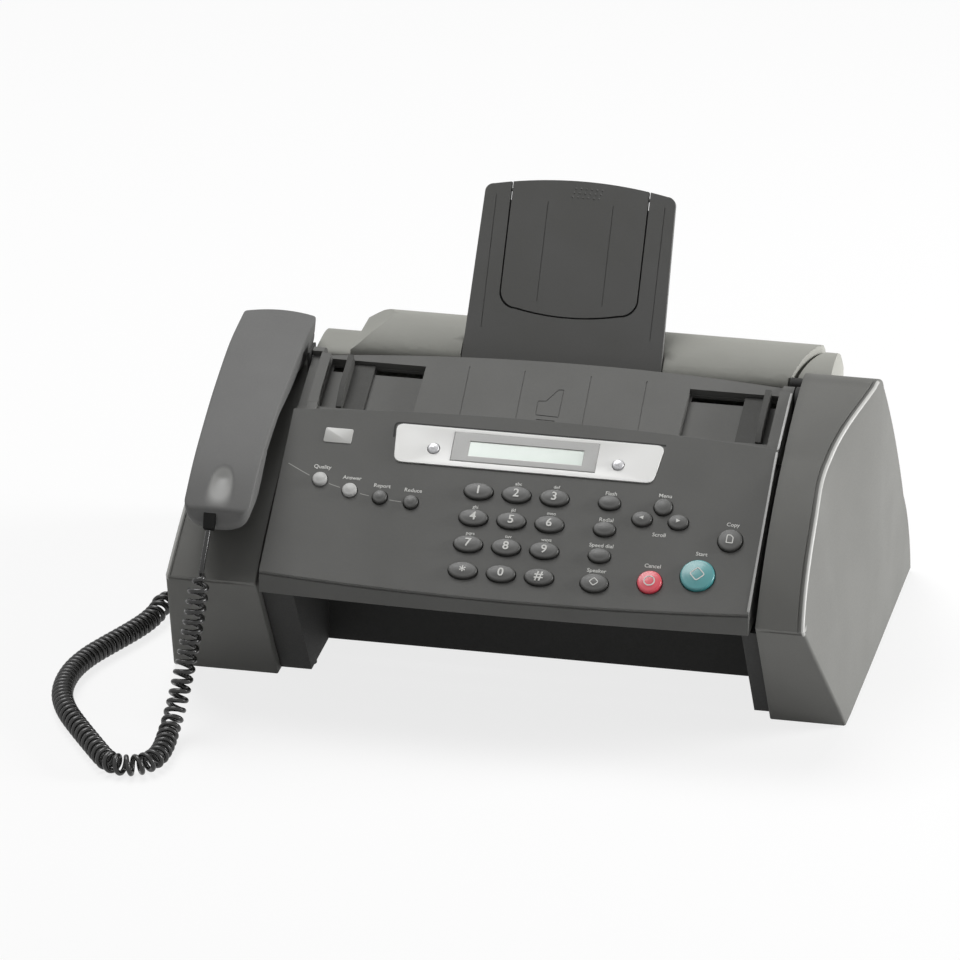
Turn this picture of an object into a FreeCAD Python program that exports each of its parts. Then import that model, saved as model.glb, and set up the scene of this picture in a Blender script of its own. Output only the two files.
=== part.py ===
import FreeCAD, Part
import math
import os

V = FreeCAD.Vector
X_AXIS = V(1, 0, 0)

# Driving dimensions, millimetres and degrees. Right is +X, the front is -Y, up is +Z.
SIZES = {
    # whole machine
    "half_width": 178, "front_draw": 5.5, "front_lean": 0.136, "lean_end_left": 215,
    "lean_end_right": 25, "ground_gap": 0.8, "wall": 3, "split_gap": 0.4,
    # bay between the two end housings
    "bay_left": -121.4, "bay_right": 137.4, "end_left": -121.6, "end_right": 137.6,
    # base pan
    "pan_front": -26.7, "pan_back": 124, "pan_bottom": 2.5, "pan_top": 66,
    "leg_left": -105, "leg_right": 128.5, "foot_radius": 4.4,
    "exit_left": -104, "exit_right": 127, "exit_low": 34, "exit_high": 58,
    "post_depth": 16, "post_over": 12,
    # sloping control panel, measured from its middle key
    "panel_x": 5, "panel_y": -86, "panel_z": 106, "panel_slope": 35.2, "panel_thick": 3,
    "panel_left": -124.5, "panel_right": 129.5, "panel_top": 56, "panel_bottom": -42,
    "panel_top_bow": 5.4, "panel_bottom_bow": 4.4, "lip_bottom": 70, "lip_height": 18,
    # door: hinge line, liner and scanner
    "door_left": -119.5, "door_right": 134.5, "hinge_y": 6, "hinge_z": 146,
    "pin_radius": 3, "pin_bore": 3.06, "pin_length": 10, "left_pin_length": 7.6, "ear_radius": 7,
    "ear_width": 6, "bracket_thick": 1.5, "bracket_depth": 14, "bracket_foot": 60,
    "liner_thick": 2.4, "liner_back": -30, "scan_depth": 20, "scan_height": 13,
    # document tray
    "tray_y": -38, "tray_z": 133.2, "tray_slope": 22, "tray_thick": 6, "tray_length": 54.2,
    "tray_back": 13, "tray_crest": 25, "tray_left_length": 44.4, "tray_right_length": 48.6,
    "rail_height": 3, "rail_low": 8, "rail_length": 36, "rail_left": -109, "rail_right": 127.6,
    "pocket_depth": 4.2, "pocket_low": 8, "pocket_high": 43.1,
    "pocket_left_out": -108.6, "pocket_left_in": -58.8, "pocket_right_in": 80.5, "pocket_right_out": 127.2,
    # document guides and their pinion
    "fin_thick": 3, "fin_height": 8.6, "fin_rise": 12, "fin_nose": 0.8, "foot_thick": 1.6,
    "guide_left_face": -96.6, "guide_right_face": 120.4, "guide_foot": 11, "neck_v": 40.35,
    "rack_thick": 2.8, "rack_clear": 0.35, "rack_past": 6, "rack_back": 2.4, "rack_width": 4,
    "tooth_module": 1, "pinion_teeth": 14, "pinion_x": 12, "pinion_v": 27, "pinion_bore": 2.05,
    # keys
    "key_gap": 0.35, "key_rise": 2, "key_flange": 1, "flange_thick": 1.2, "key_edge": 0.6,
    "key_row": 15.7, "key_column": 19.8, "key_long": 15, "key_short": 9.4, "board_thick": 1.6,
    "board_drop": 8, "board_left": -110, "board_low": -38, "board_width": 232, "board_height": 60,
    # display
    "bezel_thick": 0.8, "bezel_top": 52, "bezel_base": 29.4, "bezel_top_left": -69,
    "bezel_top_right": 71.6, "bezel_base_left": -66.8, "bezel_base_right": 68.6,
    "frame_left": -38, "frame_right": 38, "frame_low": 32.4, "frame_high": 50, "frame_thick": 1.1,
    "glass_left": -29, "glass_right": 30.5, "glass_low": 36, "glass_high": 44.8, "glass_thick": 1.8,
    "glass_drop": 1.2, "fit_gap": 0.2,
    # paper support and its flap
    "support_x": 9, "support_y": 18, "support_z": 148, "support_tilt": 56.8, "support_thick": 3.2,
    "support_base": 106, "support_head": 101, "support_length": 99, "support_tongue": 9,
    "support_round": 4.5, "support_crown": 4.6, "flap_half": 36, "flap_low": 29, "flap_gap": 0.8,
    "flap_round": 9, "flap_bow": 3,
    "flap_axis": 92, "flap_pin": 0.9, "flap_bore": 0.96, "flap_pin_length": 3,
    # rear cover
    "cover_front": 21.6, "cover_left": -121.4, "cover_right": 150, "cover_bottom": 40,
    "hump_left": -103, "hump_right": 141, "block_left": 129, "lip_right": 128.5,
    "mouth_depth": 24.8, "mouth_top": 143, "support_gap": 0.4, "cut_low": 100, "cut_past": 180,
    # handset on its cradle
    "handset_left": -162, "handset_right": -123, "handset_round": 5, "handset_taper": 2,
    "handset_front": -117, "handset_back": 31.5, "handset_parting": 9, "shell_gap": 0.15,
    "handset_far_round": 2.2, "handset_bulge": 3,
    "plug_width": 8, "plug_height": 6, "cord_gap": 0.5, "plug_length": 11, "plug_tilt": 53,
    "jack_y": 0, "jack_z": 14, "hook_x": -142, "hook_y": 15, "hook_radius": 4, "hook_top": 140.4,
    "hook_length": 14, "hook_bore": 4.06,
    # curly cord
    "wire": 2.75, "curl_radius": 4.3, "curl_lead": 20, "curl_tail": 15,
    # printing works
    "rod_y": -2, "rod_z": 84, "rod_radius": 4, "rod_bore": 4.06, "carriage_width": 46,
    "carriage_depth": 44, "carriage_height": 34, "carriage_x": 70,
    "roller_y": 17, "roller_z": 36, "roller_radius": 9, "shaft_radius": 4, "shaft_bore": 4.06,
    "gear_teeth": 32, "drive_teeth": 12, "gear_width": 4.5, "gear_x": 129, "motor_radius": 12,
    "motor_length": 30, "motor_foot": 26,
    "main_board_x": -100, "main_board_y": 62, "main_board_long": 180, "main_board_wide": 42,
    "board_stand": 4,
}

# Side outlines as (y, z). The right end stands higher than the left, which carries the handset.
RIGHT_END = {"knee": (-119, 74), "belly": (-87, 109.3), "brow": (-43, 136.5), "crown": (-16, 149),
             "peak": (10, 156), "tip": (19, 156.4), "turn": (25, 150.5), "back": (66, 104),
             "hip": (98.5, 57), "heel": (117, 32), "seat": (126, 10)}
LEFT_END = {"knee": (-119, 74), "belly": (-88, 97.5), "brow": (-45, 119.5), "crown": (-14, 133),
            "peak": (16, 140.6), "tip": (24, 140.8), "turn": (30, 136), "back": (67, 95),
            "hip": (98.5, 57), "heel": (117, 32), "seat": (126, 10)}
FRONT_FOOT_Y = -71
COVER_CREST = [(18.2, 143.4), (18.7, 145.2), (20.6, 146.6), (25, 147.4), (34, 147.9), (45, 147.1),
               (53, 143.9), (58, 138.4)]
COVER_BACK = [(112, 58), (119, 40), (40, 40)]
COVER_INSIDE = [(21.2, 140.8), (22.6, 143), (31, 144.7), (43.6, 144.2), (51.6, 141), (56, 136), (109, 57),
                (115.8, 40), (60, 20), (21.2, 20)]
HUMP_CREST = [(18.7, 145.4), (19.6, 148.8), (25.5, 154.8), (34, 158.9), (46, 160.2), (56, 156.2),
              (64, 146.5), (74, 131)]
BLOCK_CREST = [(22, 145), (23, 149.6), (30, 154.8), (40, 156.9), (48, 156.2), (57, 150.6), (72, 130)]
CREST_FOOT = [(68, 121)]
# Left end of the hump as (x, z), and the slanted line between hump and block as (x, y).
HUMP_RAMP = [(-104, 147), (-93.2, 155.6), (-84.5, 160.6), (-84.5, 170), (-110, 170), (-110, 147)]
HUMP_END = [(126.2, 13), (153.3, 78)]
END_GAP = 2.2
TRAY_NOSE = [(-37.4, 133.4), (-36, 129.6), (-57.6, 102), (-60.6, 104.2)]
HANDSET_TOP = [(-117, 112), (-109, 118.5), (-93, 129.5), (-50, 146), (-3, 158), (25, 160.6), (31.5, 161.3)]
HANDSET_BASE = [(31.5, 146), (27, 142.6), (2, 140.2), (-8, 143), (-50, 131), (-74, 118), (-84, 104),
                (-90, 98.5), (-110, 98), (-117, 103)]
CORD_ROUTE = [(-145.5, -120.9, 102.1), (-146, -129.5, 90.6), (-147, -134.5, 79), (-148.5, -137.5, 66.5),
              (-150, -140, 54), (-152, -143, 41), (-154, -147.5, 27.5), (-155.8, -155, 15),
              (-156.6, -165.5, 8), (-156, -176, 6.4), (-155.8, -185, 6.2), (-156.8, -193.2, 6.2),
              (-160.4, -199.8, 6.2), (-166.5, -203.8, 6.2), (-173.6, -204, 6.2), (-180, -200.6, 6.2),
              (-185.4, -193.2, 6.2), (-193.8, -180.8, 6.2), (-204.8, -164.4, 6.2), (-216, -146.5, 6.2),
              (-223.5, -127, 6.2), (-225, -103.5, 6.2), (-221, -83.5, 6.2), (-213.5, -65.5, 6.2),
              (-206, -48.5, 6.2), (-200.5, -33.5, 6.3), (-197.6, -21, 7.4), (-196.8, -9, 10.6),
              (-193.6, -2.8, 13), (-188.4, 0, 14), (-182.6, 0, 14)]
# Curl spacing along the cord: wide where it hangs, tighter where it lies.
CURL_PITCH = [(0, 5.6), (110, 5.2), (210, 5), (232, 3.95), (345, 3.95), (360, 5.8), (600, 5.8)]

doc = FreeCAD.newDocument("fax_machine")
sheet = doc.addObject("Spreadsheet::Sheet", "Sizes")
for row, (alias, value) in enumerate(SIZES.items(), start=1):
    sheet.set(f"A{row}", alias)
    sheet.set(f"B{row}", str(value))
    sheet.setAlias(f"B{row}", alias)
doc.recompute()

nodes = []


def mm(alias):
    """Read one driving dimension from the sheet."""
    return float(sheet.get(alias))


def formula(words):
    """Turn words such as 'wall + split_gap' into an expression on the sheet."""
    tokens = words.replace("(", " ( ").replace(")", " ) ").split()
    return " ".join(f"Sizes.{token}" if token in SIZES else token for token in tokens)


def add(kind, name, **bindings):
    """Add an object whose properties follow the sheet."""
    item = doc.addObject(kind, name)
    for prop, words in bindings.items():
        item.setExpression(prop, formula(words))
    return item


def node(item, label):
    """Keep a finished sub-part under its own name."""
    item.Label = label
    nodes.append(item)
    return item


def feature(name, shape, placement=None):
    """Hold a shape that no primitive gives."""
    item = doc.addObject("Part::Feature", name)
    item.Shape = shape
    if placement:
        item.Placement = placement
    return item


def at(x, y, z, frame=None, turn=None):
    """A place given in the machine's frame or in a sloping one."""
    local = FreeCAD.Placement(V(x, y, z), turn or FreeCAD.Rotation())
    return frame.multiply(local) if frame else local


def slope(x, y, z, degrees):
    """A frame tilted about X, such as the panel's."""
    return FreeCAD.Placement(V(x, y, z), FreeCAD.Rotation(X_AXIS, degrees))


PANEL = slope(mm("panel_x"), mm("panel_y"), mm("panel_z"), mm("panel_slope"))
TRAY = slope(0, mm("tray_y"), mm("tray_z"), mm("tray_slope"))
SUPPORT = slope(mm("support_x"), mm("support_y"), mm("support_z"), mm("support_tilt"))
ALONG_X = FreeCAD.Rotation(V(0, 1, 0), 90)


def box(name, place, length, width, height):
    """A block with its low corner at a place."""
    item = add("Part::Box", name, Length=length, Width=width, Height=height)
    item.Placement = place
    return item


def rod(name, place, radius, height):
    """A round bar along the local Z of a place."""
    item = add("Part::Cylinder", name, Radius=radius, Height=height)
    item.Placement = place
    return item


def fuse(name, items):
    """Join items into one solid."""
    item = doc.addObject("Part::MultiFuse", name)
    item.Shapes = items
    item.Refine = True
    return item


def cut(name, base, tools):
    """Take one or more tools away from a base."""
    item = doc.addObject("Part::Cut", name)
    item.Base = base
    item.Tool = tools[0] if len(tools) == 1 else fuse(name + "_tools", tools)
    item.Refine = True
    return item


def common(name, first, second):
    """Keep what two items share."""
    item = doc.addObject("Part::Common", name)
    item.Base = first
    item.Tool = second
    return item


def wire(points, closed=True):
    """A straight-sided outline."""
    corners = [V(*p) for p in points]
    return Part.makePolygon(corners + corners[:1] if closed else corners)


def extrude(name, outline, along, height, place=None):
    """Carry a closed outline along a direction."""
    profile = feature(name + "_outline", outline)
    item = add("Part::Extrusion", name, LengthFwd=height)
    item.Base = profile
    item.DirMode = "Custom"
    item.Dir = along
    item.Solid = True
    if place:
        item.Placement = place
    return item


def side_prism(name, points, start, width):
    """A side outline (y, z) carried along X from a start."""
    return extrude(name, wire([(mm(start), y, z) for y, z in points]), X_AXIS, width)


def crest_prism(name, crest, tail, start, width):
    """A side outline (y, z), smooth along its crest and straight along its tail, carried along X."""
    x = mm(start)
    curve = Part.BSplineCurve()
    curve.interpolate([V(x, y, z) for y, z in crest])
    run = wire([(x, y, z) for y, z in crest[-1:] + tail + crest[:1]], False)
    return extrude(name, Part.Wire([curve.toShape()] + run.Edges), X_AXIS, width)


def oval(name, long_side, short_side, height, place):
    """An upright bar with an elliptical section."""
    ring = add("Part::Ellipse", name + "_ring", MajorRadius=f"( {long_side} ) / 2",
               MinorRadius=f"( {short_side} ) / 2")
    item = add("Part::Extrusion", name, LengthFwd=height)
    item.Base = ring
    item.DirMode = "Custom"
    item.Dir = V(0, 0, 1)
    item.Solid = True
    item.Placement = place
    return item


def rounded(name, base, radius, level):
    """Round the edges of a base that lie wholly at one local height."""
    doc.recompute()
    edges = [(i, mm(radius), mm(radius)) for i, edge in enumerate(base.Shape.Edges, start=1)
             if all(abs(vertex.Z - level) < 1e-6 for vertex in edge.Vertexes)
             and abs(edge.CenterOfMass.z - level) < 1e-6]
    item = doc.addObject("Part::Fillet", name)
    item.Base = base
    item.Edges = edges
    return item


def tooth_ring(teeth, module, phase=0.0):
    """Outline of a toothed wheel in the XY plane, one tooth centred on the phase angle."""
    pitch_radius = teeth * module / 2
    flanks = [(-0.52, -1.2), (-0.40, 0), (-0.22, 0.8), (0.22, 0.8), (0.40, 0), (0.52, -1.2)]
    points = []
    for tooth in range(teeth):
        for share, height in flanks:
            angle = phase + (2 * tooth + share) * math.pi / teeth
            radius = pitch_radius + height * module
            points.append((radius * math.cos(angle), radius * math.sin(angle), 0))
    return wire(points)


def end_outline(points, x):
    """Side outline of an end housing, flat at the foot and arched above the knee."""
    p = {name: V(x, y, z) for name, (y, z) in points.items()}
    ground = mm("ground_gap")
    front_foot = V(x, FRONT_FOOT_Y, ground)
    back_foot = V(x, points["seat"][0] + 1, ground)
    edges = [Part.LineSegment(front_foot, p["knee"]).toShape()]
    for start, middle, end in (("knee", "belly", "brow"), ("brow", "crown", "peak"),
                               ("peak", "tip", "turn"), ("turn", "back", "hip"), ("hip", "heel", "seat")):
        edges.append(Part.Arc(p[start], p[middle], p[end]).toShape())
    edges.append(Part.LineSegment(p["seat"], back_foot).toShape())
    edges.append(Part.LineSegment(back_foot, front_foot).toShape())
    return Part.Wire(edges)


def ease(share):
    """Smooth step from 0 to 1."""
    share = min(max(share, 0), 1)
    return share * share * (3 - 2 * share)


def flare(side):
    """Space inside the outer face, which leans in towards the front, as a loft of upright sections."""
    inner, low, high = side * 90, -5, 170
    fade = mm("lean_end_right") if side > 0 else mm("lean_end_left")
    sections = []
    for station in range(16):
        y = -130 + 18 * station
        reach = mm("half_width") - mm("front_draw") * ease((-60 - y) / 70)
        lean = mm("front_lean") * ease((fade - y) / 90)
        sections.append(wire([(inner, y, low), (side * (reach - lean * low), y, low),
                              (side * (reach - lean * high), y, high), (inner, y, high)]))
    return Part.makeLoft(sections, True, False)


def end_housing(name, points, inner, side):
    """Hollow end housing open at the bottom: outer form less a plain inside space."""
    outline = extrude(name + "_prism", end_outline(points, mm(inner)), V(side, 0, 0),
                      "half_width + wall")
    form = common(name + "_form", outline, feature(name + "_flare", flare(side)))
    room = [(FRONT_FOOT_Y + 6, -1), (-112, 72), (-84, points["belly"][1] - 10),
            (-42, points["brow"][1] - 6), (12, points["peak"][1] - 8), (24, points["turn"][1] - 10),
            (92, 56), (118, 16), (120, -1)]
    start = mm(inner) + side * mm("wall")
    hollow = extrude(name + "_room", wire([(start, y, z) for y, z in room]), V(side, 0, 0),
                     "half_width - end_right - 8 * wall" if side > 0 else "half_width + end_left - 8 * wall")
    return form, hollow


def build_base():
    """Base pan with front legs and paper exit, its feet, and the two end housings."""
    left, right = mm("bay_left"), mm("bay_right")
    outer = side_prism("pan_outer", [(-26.7, 2.5), (124, 2.5), (124, 14), (118.6, 39.4), (34, 39.4),
                                     (20, 66), (-26.7, 66)], "bay_left", "bay_right - bay_left")
    room = box("pan_room", at(left + mm("wall"), mm("pan_front") + mm("wall"),
                              mm("pan_bottom") + mm("wall")),
               "bay_right - bay_left - 2 * wall", "pan_back - pan_front - 6 * wall", "pan_top")
    slot = box("pan_exit", at(mm("exit_left"), mm("pan_front") - 1, mm("exit_low")),
               "exit_right - exit_left", "wall + 2", "exit_high - exit_low")
    leg = [(-66, 2.5), (-26.7, 2.5), (-26.7, 66), (-108, 66)]
    legs = [side_prism("leg_left_block", leg, "bay_left", "leg_left - bay_left"),
            side_prism("leg_right_block", leg, "leg_right", "bay_right - leg_right")]
    hollowed = cut("pan_hollowed", outer, [room, slot])
    foot, span = mm("bracket_foot"), "bay_right - bay_left + 2"
    stands = [box("hinge_arm", at(left, mm("hinge_y") - mm("bracket_depth") / 2, foot), "bracket_thick",
                  "bracket_depth", "hinge_z + ear_radius - bracket_foot")]
    for name, x in (("post_left", left), ("post_right", right - mm("wall"))):
        stands.append(box(name, at(x, mm("rod_y") - mm("post_depth") / 2, foot), "wall", "post_depth",
                          "rod_z + post_over - bracket_foot"))
    whole = fuse("pan_whole", [hollowed] + legs + stands)
    seats = []
    for name, y, z, radius, length in (("shaft_bores", "roller_y", "roller_z", "shaft_bore", span),
                                       ("rod_seats", "rod_y", "rod_z", "rod_radius", span),
                                       ("pin_seat", "hinge_y", "hinge_z", "pin_radius",
                                        "bracket_thick + 2")):
        seats.append(rod(name, at(left - 1, mm(y), mm(z), None, ALONG_X), radius, length))
    node(cut("base_pan", whole, seats), "base_pan")

    feet = []
    for i, (x, y) in enumerate(((-110, -52), (133, -52), (-100, 112), (116, 112))):
        feet.append(rod(f"foot_{i}", at(x, y, 0), "foot_radius", "pan_bottom"))
    compound = doc.addObject("Part::Compound", "rubber_feet")
    compound.Links = feet
    node(compound, "rubber_feet")

    form, hollow = end_housing("right_end", RIGHT_END, "end_right", 1)
    rear = box("right_end_rear", at(mm("end_right") - 1, mm("cover_front") - mm("split_gap"),
                                    mm("cover_bottom") - mm("split_gap")),
               "cover_right - end_right + 1 + split_gap", "150", "150")
    pin = rod("right_end_pin", at(mm("end_right") - 1, mm("hinge_y"), mm("hinge_z"), None, ALONG_X),
              "pin_radius", "pin_length")
    node(cut("right_end_housing", form, [hollow, rear, pin]), "right_end_housing")

    form, hollow = end_housing("left_end", LEFT_END, "end_left", -1)
    hook = rod("left_end_hook", at(mm("hook_x"), mm("hook_y"), 100), "hook_bore", "60")
    jack = box("left_end_jack", at(-mm("half_width") - 8, mm("jack_y") - mm("plug_width") / 2 - 0.2,
                                   mm("jack_z") - mm("plug_height") / 2 - 0.2),
               "plug_length + 8", "plug_width + 0.4", "plug_height + 0.4")
    node(cut("left_end_housing", form, [hollow, hook, jack]), "left_end_housing")


def build_rear_cover():
    """Rear cover: a bent shell with a raised hump, a lower end block and a pocket for the paper support."""
    cover = crest_prism("cover_block", COVER_CREST, COVER_BACK, "cover_left", "cover_right - cover_left")
    low, past = mm("cut_low"), mm("cut_past")
    ramp = extrude("hump_ramp", wire([(x, 0, z) for x, z in HUMP_RAMP]), V(0, 1, 0), "cut_past")
    (x_low, y_low), (x_high, y_high) = HUMP_END
    beyond = extrude("hump_beyond", wire([(x_low, y_low, low), (x_high, y_high, low), (past, y_high, low),
                                          (past, y_low, low)]), V(0, 0, 1), "cut_past")
    before = extrude("block_before", wire([(x_low + END_GAP, y_low, low), (x_high + END_GAP, y_high, low),
                                           (0, y_high, low), (0, y_low, low)]), V(0, 0, 1), "cut_past")
    hump = crest_prism("hump_block", HUMP_CREST, CREST_FOOT, "hump_left", "hump_right - hump_left")
    block = crest_prism("end_block", BLOCK_CREST, CREST_FOOT, "block_left", "cover_right - block_left")
    raised = [cut("hump", hump, [ramp, beyond]), cut("block", block, [before])]
    start = mm("cover_left") + mm("wall")
    room = extrude("cover_room", wire([(start, y, z) for y, z in COVER_INSIDE]), X_AXIS,
                   "cover_right - cover_left - 2 * wall")
    under = box("cover_under", at(mm("cover_left") - 1, 0, 0), "cover_right - cover_left + 2", "cut_past",
                "cover_bottom")
    front = box("cover_mouth", at(start, 0, mm("cover_bottom")), "cover_right - cover_left - 2 * wall",
                "mouth_depth", "mouth_top - cover_bottom")
    below = box("cover_sides", at(mm("cover_left") - 1, 0, 0), "cover_right - cover_left + 2",
                "mouth_depth", "mouth_top")
    corner = box("cover_corner", at(mm("lip_right"), 0, 0), "cut_past", "cover_front", "cut_past")
    gap = mm("support_gap")
    pocket = box("support_pocket", at(-mm("support_base") / 2 - gap, -past / 2, -mm("support_thick") - gap,
                                      SUPPORT),
                 "support_base + 2 * support_gap", "cut_past", "support_thick + 20 * support_gap")
    node(cut("rear_cover", fuse("cover_whole", [cover] + raised),
             [room, under, front, below, corner, pocket]), "rear_cover")


def support_outline(low):
    """Outline of the paper support: straight sides that close in a little, round shoulders."""
    base, head = mm("support_base") / 2, mm("support_head") / 2
    top, r = mm("support_length"), mm("support_round")
    k = r * (1 - math.sqrt(0.5))
    drop = mm("support_crown")
    points = [V(-base, low, 0), V(base, low, 0), V(head, top - r - drop, 0), V(head - k, top - k - drop, 0),
              V(head - r, top - drop, 0), V(0, top, 0), V(-head + r, top - drop, 0),
              V(-head + k, top - k - drop, 0), V(-head, top - r - drop, 0)]
    return Part.Wire([Part.LineSegment(points[0], points[1]).toShape(),
                      Part.LineSegment(points[1], points[2]).toShape(),
                      Part.Arc(points[2], points[3], points[4]).toShape(),
                      Part.Arc(points[4], points[5], points[6]).toShape(),
                      Part.Arc(points[6], points[7], points[8]).toShape(),
                      Part.LineSegment(points[8], points[0]).toShape()])


def flap_outline(half, low, high):
    """U shape with round lower corners and a bowed lower edge, open at the top."""
    r = mm("flap_round")
    k = r * (1 - math.sqrt(0.5))
    bow = mm("flap_bow")
    points = [V(half, high, 0), V(half, low + r, 0), V(half - k, low + k, 0), V(half - r, low, 0),
              V(0, low - bow, 0), V(-half + r, low, 0), V(-half + k, low + k, 0), V(-half, low + r, 0),
              V(-half, high, 0)]
    return Part.Wire([Part.LineSegment(points[0], points[1]).toShape(),
                      Part.Arc(points[1], points[2], points[3]).toShape(),
                      Part.Arc(points[3], points[4], points[5]).toShape(),
                      Part.Arc(points[5], points[6], points[7]).toShape(),
                      Part.LineSegment(points[7], points[8]).toShape(),
                      Part.LineSegment(points[8], points[0]).toShape()])


def build_support():
    """Paper support with its flap, which turns up about pins near the top."""
    thick, gap = mm("support_thick"), mm("flap_gap")
    plate = extrude("support_plate", support_outline(-mm("support_tongue")), V(0, 0, 1), "support_thick",
                    at(0, 0, -thick, SUPPORT))
    window = extrude("support_window", flap_outline(mm("flap_half") + gap, mm("flap_low"), 120), V(0, 0, 1),
                     "support_thick + 2", at(0, 0, -thick - 1, SUPPORT))
    reach = mm("flap_half") + mm("flap_pin_length") + 0.4
    bore = rod("support_bore", at(-reach, mm("flap_axis"), -thick / 2, SUPPORT, ALONG_X), "flap_bore",
               "2 * ( flap_half + flap_pin_length + 0.4 )")
    node(cut("paper_support", plate, [window, bore]), "paper_support")

    blank = extrude("flap_blank", flap_outline(mm("flap_half"), mm("flap_low") + gap, 120), V(0, 0, 1),
                    "support_thick", at(0, 0, -thick, SUPPORT))
    crown = extrude("flap_crown", support_outline(-mm("support_tongue")), V(0, 0, 1), "support_thick + 2",
                    at(0, 0, -thick - 1, SUPPORT))
    trimmed = common("flap_trimmed", blank, crown)
    reach = mm("flap_half") + mm("flap_pin_length")
    pin = rod("flap_pins", at(-reach, mm("flap_axis"), -thick / 2, SUPPORT, ALONG_X), "flap_pin",
              "2 * ( flap_half + flap_pin_length )")
    node(fuse("paper_support_flap", [trimmed, pin]), "paper_support_flap")


def key_table():
    """Every key as (name, u, v, long side, short side): a keypad grid, then the function keys."""
    row, column = mm("key_row"), mm("key_column")
    names = (("1", "2", "3"), ("4", "5", "6"), ("7", "8", "9"), ("star", "0", "hash"))
    keys = []
    for r, line in enumerate(names):
        for c, name in enumerate(line):
            keys.append((f"key_{name}", (c - 1) * column, (1 - r) * row, mm("key_long"), mm("key_short")))
    keys += [("flash_button", 48.4, row, 11.4, 8.2), ("redial_button", 48.4, 0, 11.4, 8.2),
             ("speed_dial_button", 48.4, -row, 11.4, 8.2), ("speaker_button", 48.4, -32, 14.4, 10.4),
             ("menu_button", 76.3, 16, 9.4, 9.4), ("scroll_left_button", 66.6, 7.9, 10.4, 8.4),
             ("scroll_right_button", 85.4, 7.8, 10.4, 8.4), ("copy_button", 113.5, -0.2, 12.6, 12.6),
             ("cancel_button", 76.5, -28.6, 12.6, 12.6), ("start_button", 100.2, -22.3, 17.6, 17.6),
             ("mode_button_1", -102.9, 14.9, 7.6, 7.6), ("mode_button_2", -86.4, 9.9, 7.6, 7.6),
             ("mode_button_3", -70.1, 7.3, 7.6, 7.6), ("mode_button_4", -53.6, 6, 7.6, 7.6),
             ("display_button_left", -47.4, 38.7, 6, 6), ("display_button_right", 49.2, 38.3, 6, 6)]
    return keys


def build_keys():
    """Keys with a retaining flange under the panel; returns the tools that cut their holes."""
    holes = []
    depth = mm("panel_thick")
    for name, u, v, long_side, short_side in key_table():
        cap = oval(name + "_cap", str(long_side), str(short_side), "key_rise + panel_thick + key_gap",
                   at(0, 0, -depth - mm("key_gap")))
        flange = oval(name + "_flange", f"{long_side} + 2 * key_flange", f"{short_side} + 2 * key_flange",
                      "flange_thick", at(0, 0, -depth - mm("key_gap") - mm("flange_thick")))
        whole = fuse(name + "_whole", [cap, flange])
        finished = rounded(name, whole, "key_edge", mm("key_rise"))
        finished.Placement = at(u, v, 0, PANEL)
        node(finished, name)
        holes.append(oval(name + "_hole", f"{long_side} + 2 * key_gap", f"{short_side} + 2 * key_gap",
                          "panel_thick + 4", at(u, v, -depth - 2, PANEL)))
    return holes


def panel_outline():
    """Panel outline: straight sides, bowed top and bottom edges."""
    left, right = mm("panel_left"), mm("panel_right")
    top, low, middle = mm("panel_top"), mm("panel_bottom"), (mm("panel_left") + mm("panel_right")) / 2
    corners = [V(left, low, 0), V(right, low, 0), V(right, top, 0), V(left, top, 0)]
    return Part.Wire([Part.Arc(corners[0], V(middle, low - mm("panel_bottom_bow"), 0), corners[1]).toShape(),
                      Part.LineSegment(corners[1], corners[2]).toShape(),
                      Part.Arc(corners[2], V(middle, top + mm("panel_top_bow"), 0), corners[3]).toShape(),
                      Part.LineSegment(corners[3], corners[0]).toShape()])


def build_panel(holes):
    """Control panel: bowed plate, front lip and two cheeks, with a hole for every key."""
    depth = mm("panel_thick")
    plate = extrude("panel_plate", panel_outline(), V(0, 0, 1), "panel_thick", at(0, 0, -depth, PANEL))
    lean = math.radians(mm("panel_slope"))
    ends = mm("panel_y") + mm("panel_bottom") * math.cos(lean)
    front = ends - mm("panel_bottom_bow") * math.cos(lean)
    left, right = mm("door_left"), mm("door_right")
    middle, low, wall = (left + right) / 2, mm("lip_bottom"), mm("wall")
    band = Part.Wire([Part.Arc(V(left, ends, low), V(middle, front, low), V(right, ends, low)).toShape(),
                      Part.LineSegment(V(right, ends, low), V(right, ends + wall, low)).toShape(),
                      Part.Arc(V(right, ends + wall, low), V(middle, front + wall, low),
                               V(left, ends + wall, low)).toShape(),
                      Part.LineSegment(V(left, ends + wall, low), V(left, ends, low)).toShape()])
    tall = extrude("lip_tall", band, V(0, 0, 1), "lip_height")
    below = box("panel_below", at(-200, -120, -90, PANEL), "400", "300", "90 - panel_thick * 0.5")
    lip = common("lip", tall, below)
    cheek = [(ends + 1.5, low), (mm("liner_back"), low), (mm("liner_back"), 125.8), (-42, 125.8),
             (ends + 1.5, 77.2)]
    cheeks = [side_prism("cheek_left", cheek, "door_left", "wall"),
              extrude("cheek_right", wire([(right - wall, y, z) for y, z in cheek]), X_AXIS, "wall")]
    whole = fuse("panel_whole", [plate, lip] + cheeks)
    window = box("panel_window", at(mm("frame_left") + 2, mm("frame_low") + 1, -depth - 2, PANEL),
                 "frame_right - frame_left - 4", "frame_high - frame_low - 2", "panel_thick + 4")
    node(cut("control_panel", whole, holes + [window]), "control_panel")

    liner = box("door_liner", at(left + wall, ends + wall + 0.2, low), "door_right - door_left - 2 * wall",
                f"liner_back - {ends + wall + 0.2}", "liner_thick")
    node(liner, "door_liner")
    bar = box("scan_bar", at(left + wall, -72, 80), "door_right - door_left - 2 * wall", "scan_depth",
              "scan_height")
    node(bar, "scan_bar")
    board = box("keypad_board", at(mm("board_left"), mm("board_low"),
                                   -mm("board_drop") - mm("board_thick"), PANEL),
                "board_width", "board_height", "board_thick")
    node(board, "keypad_board")


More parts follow.
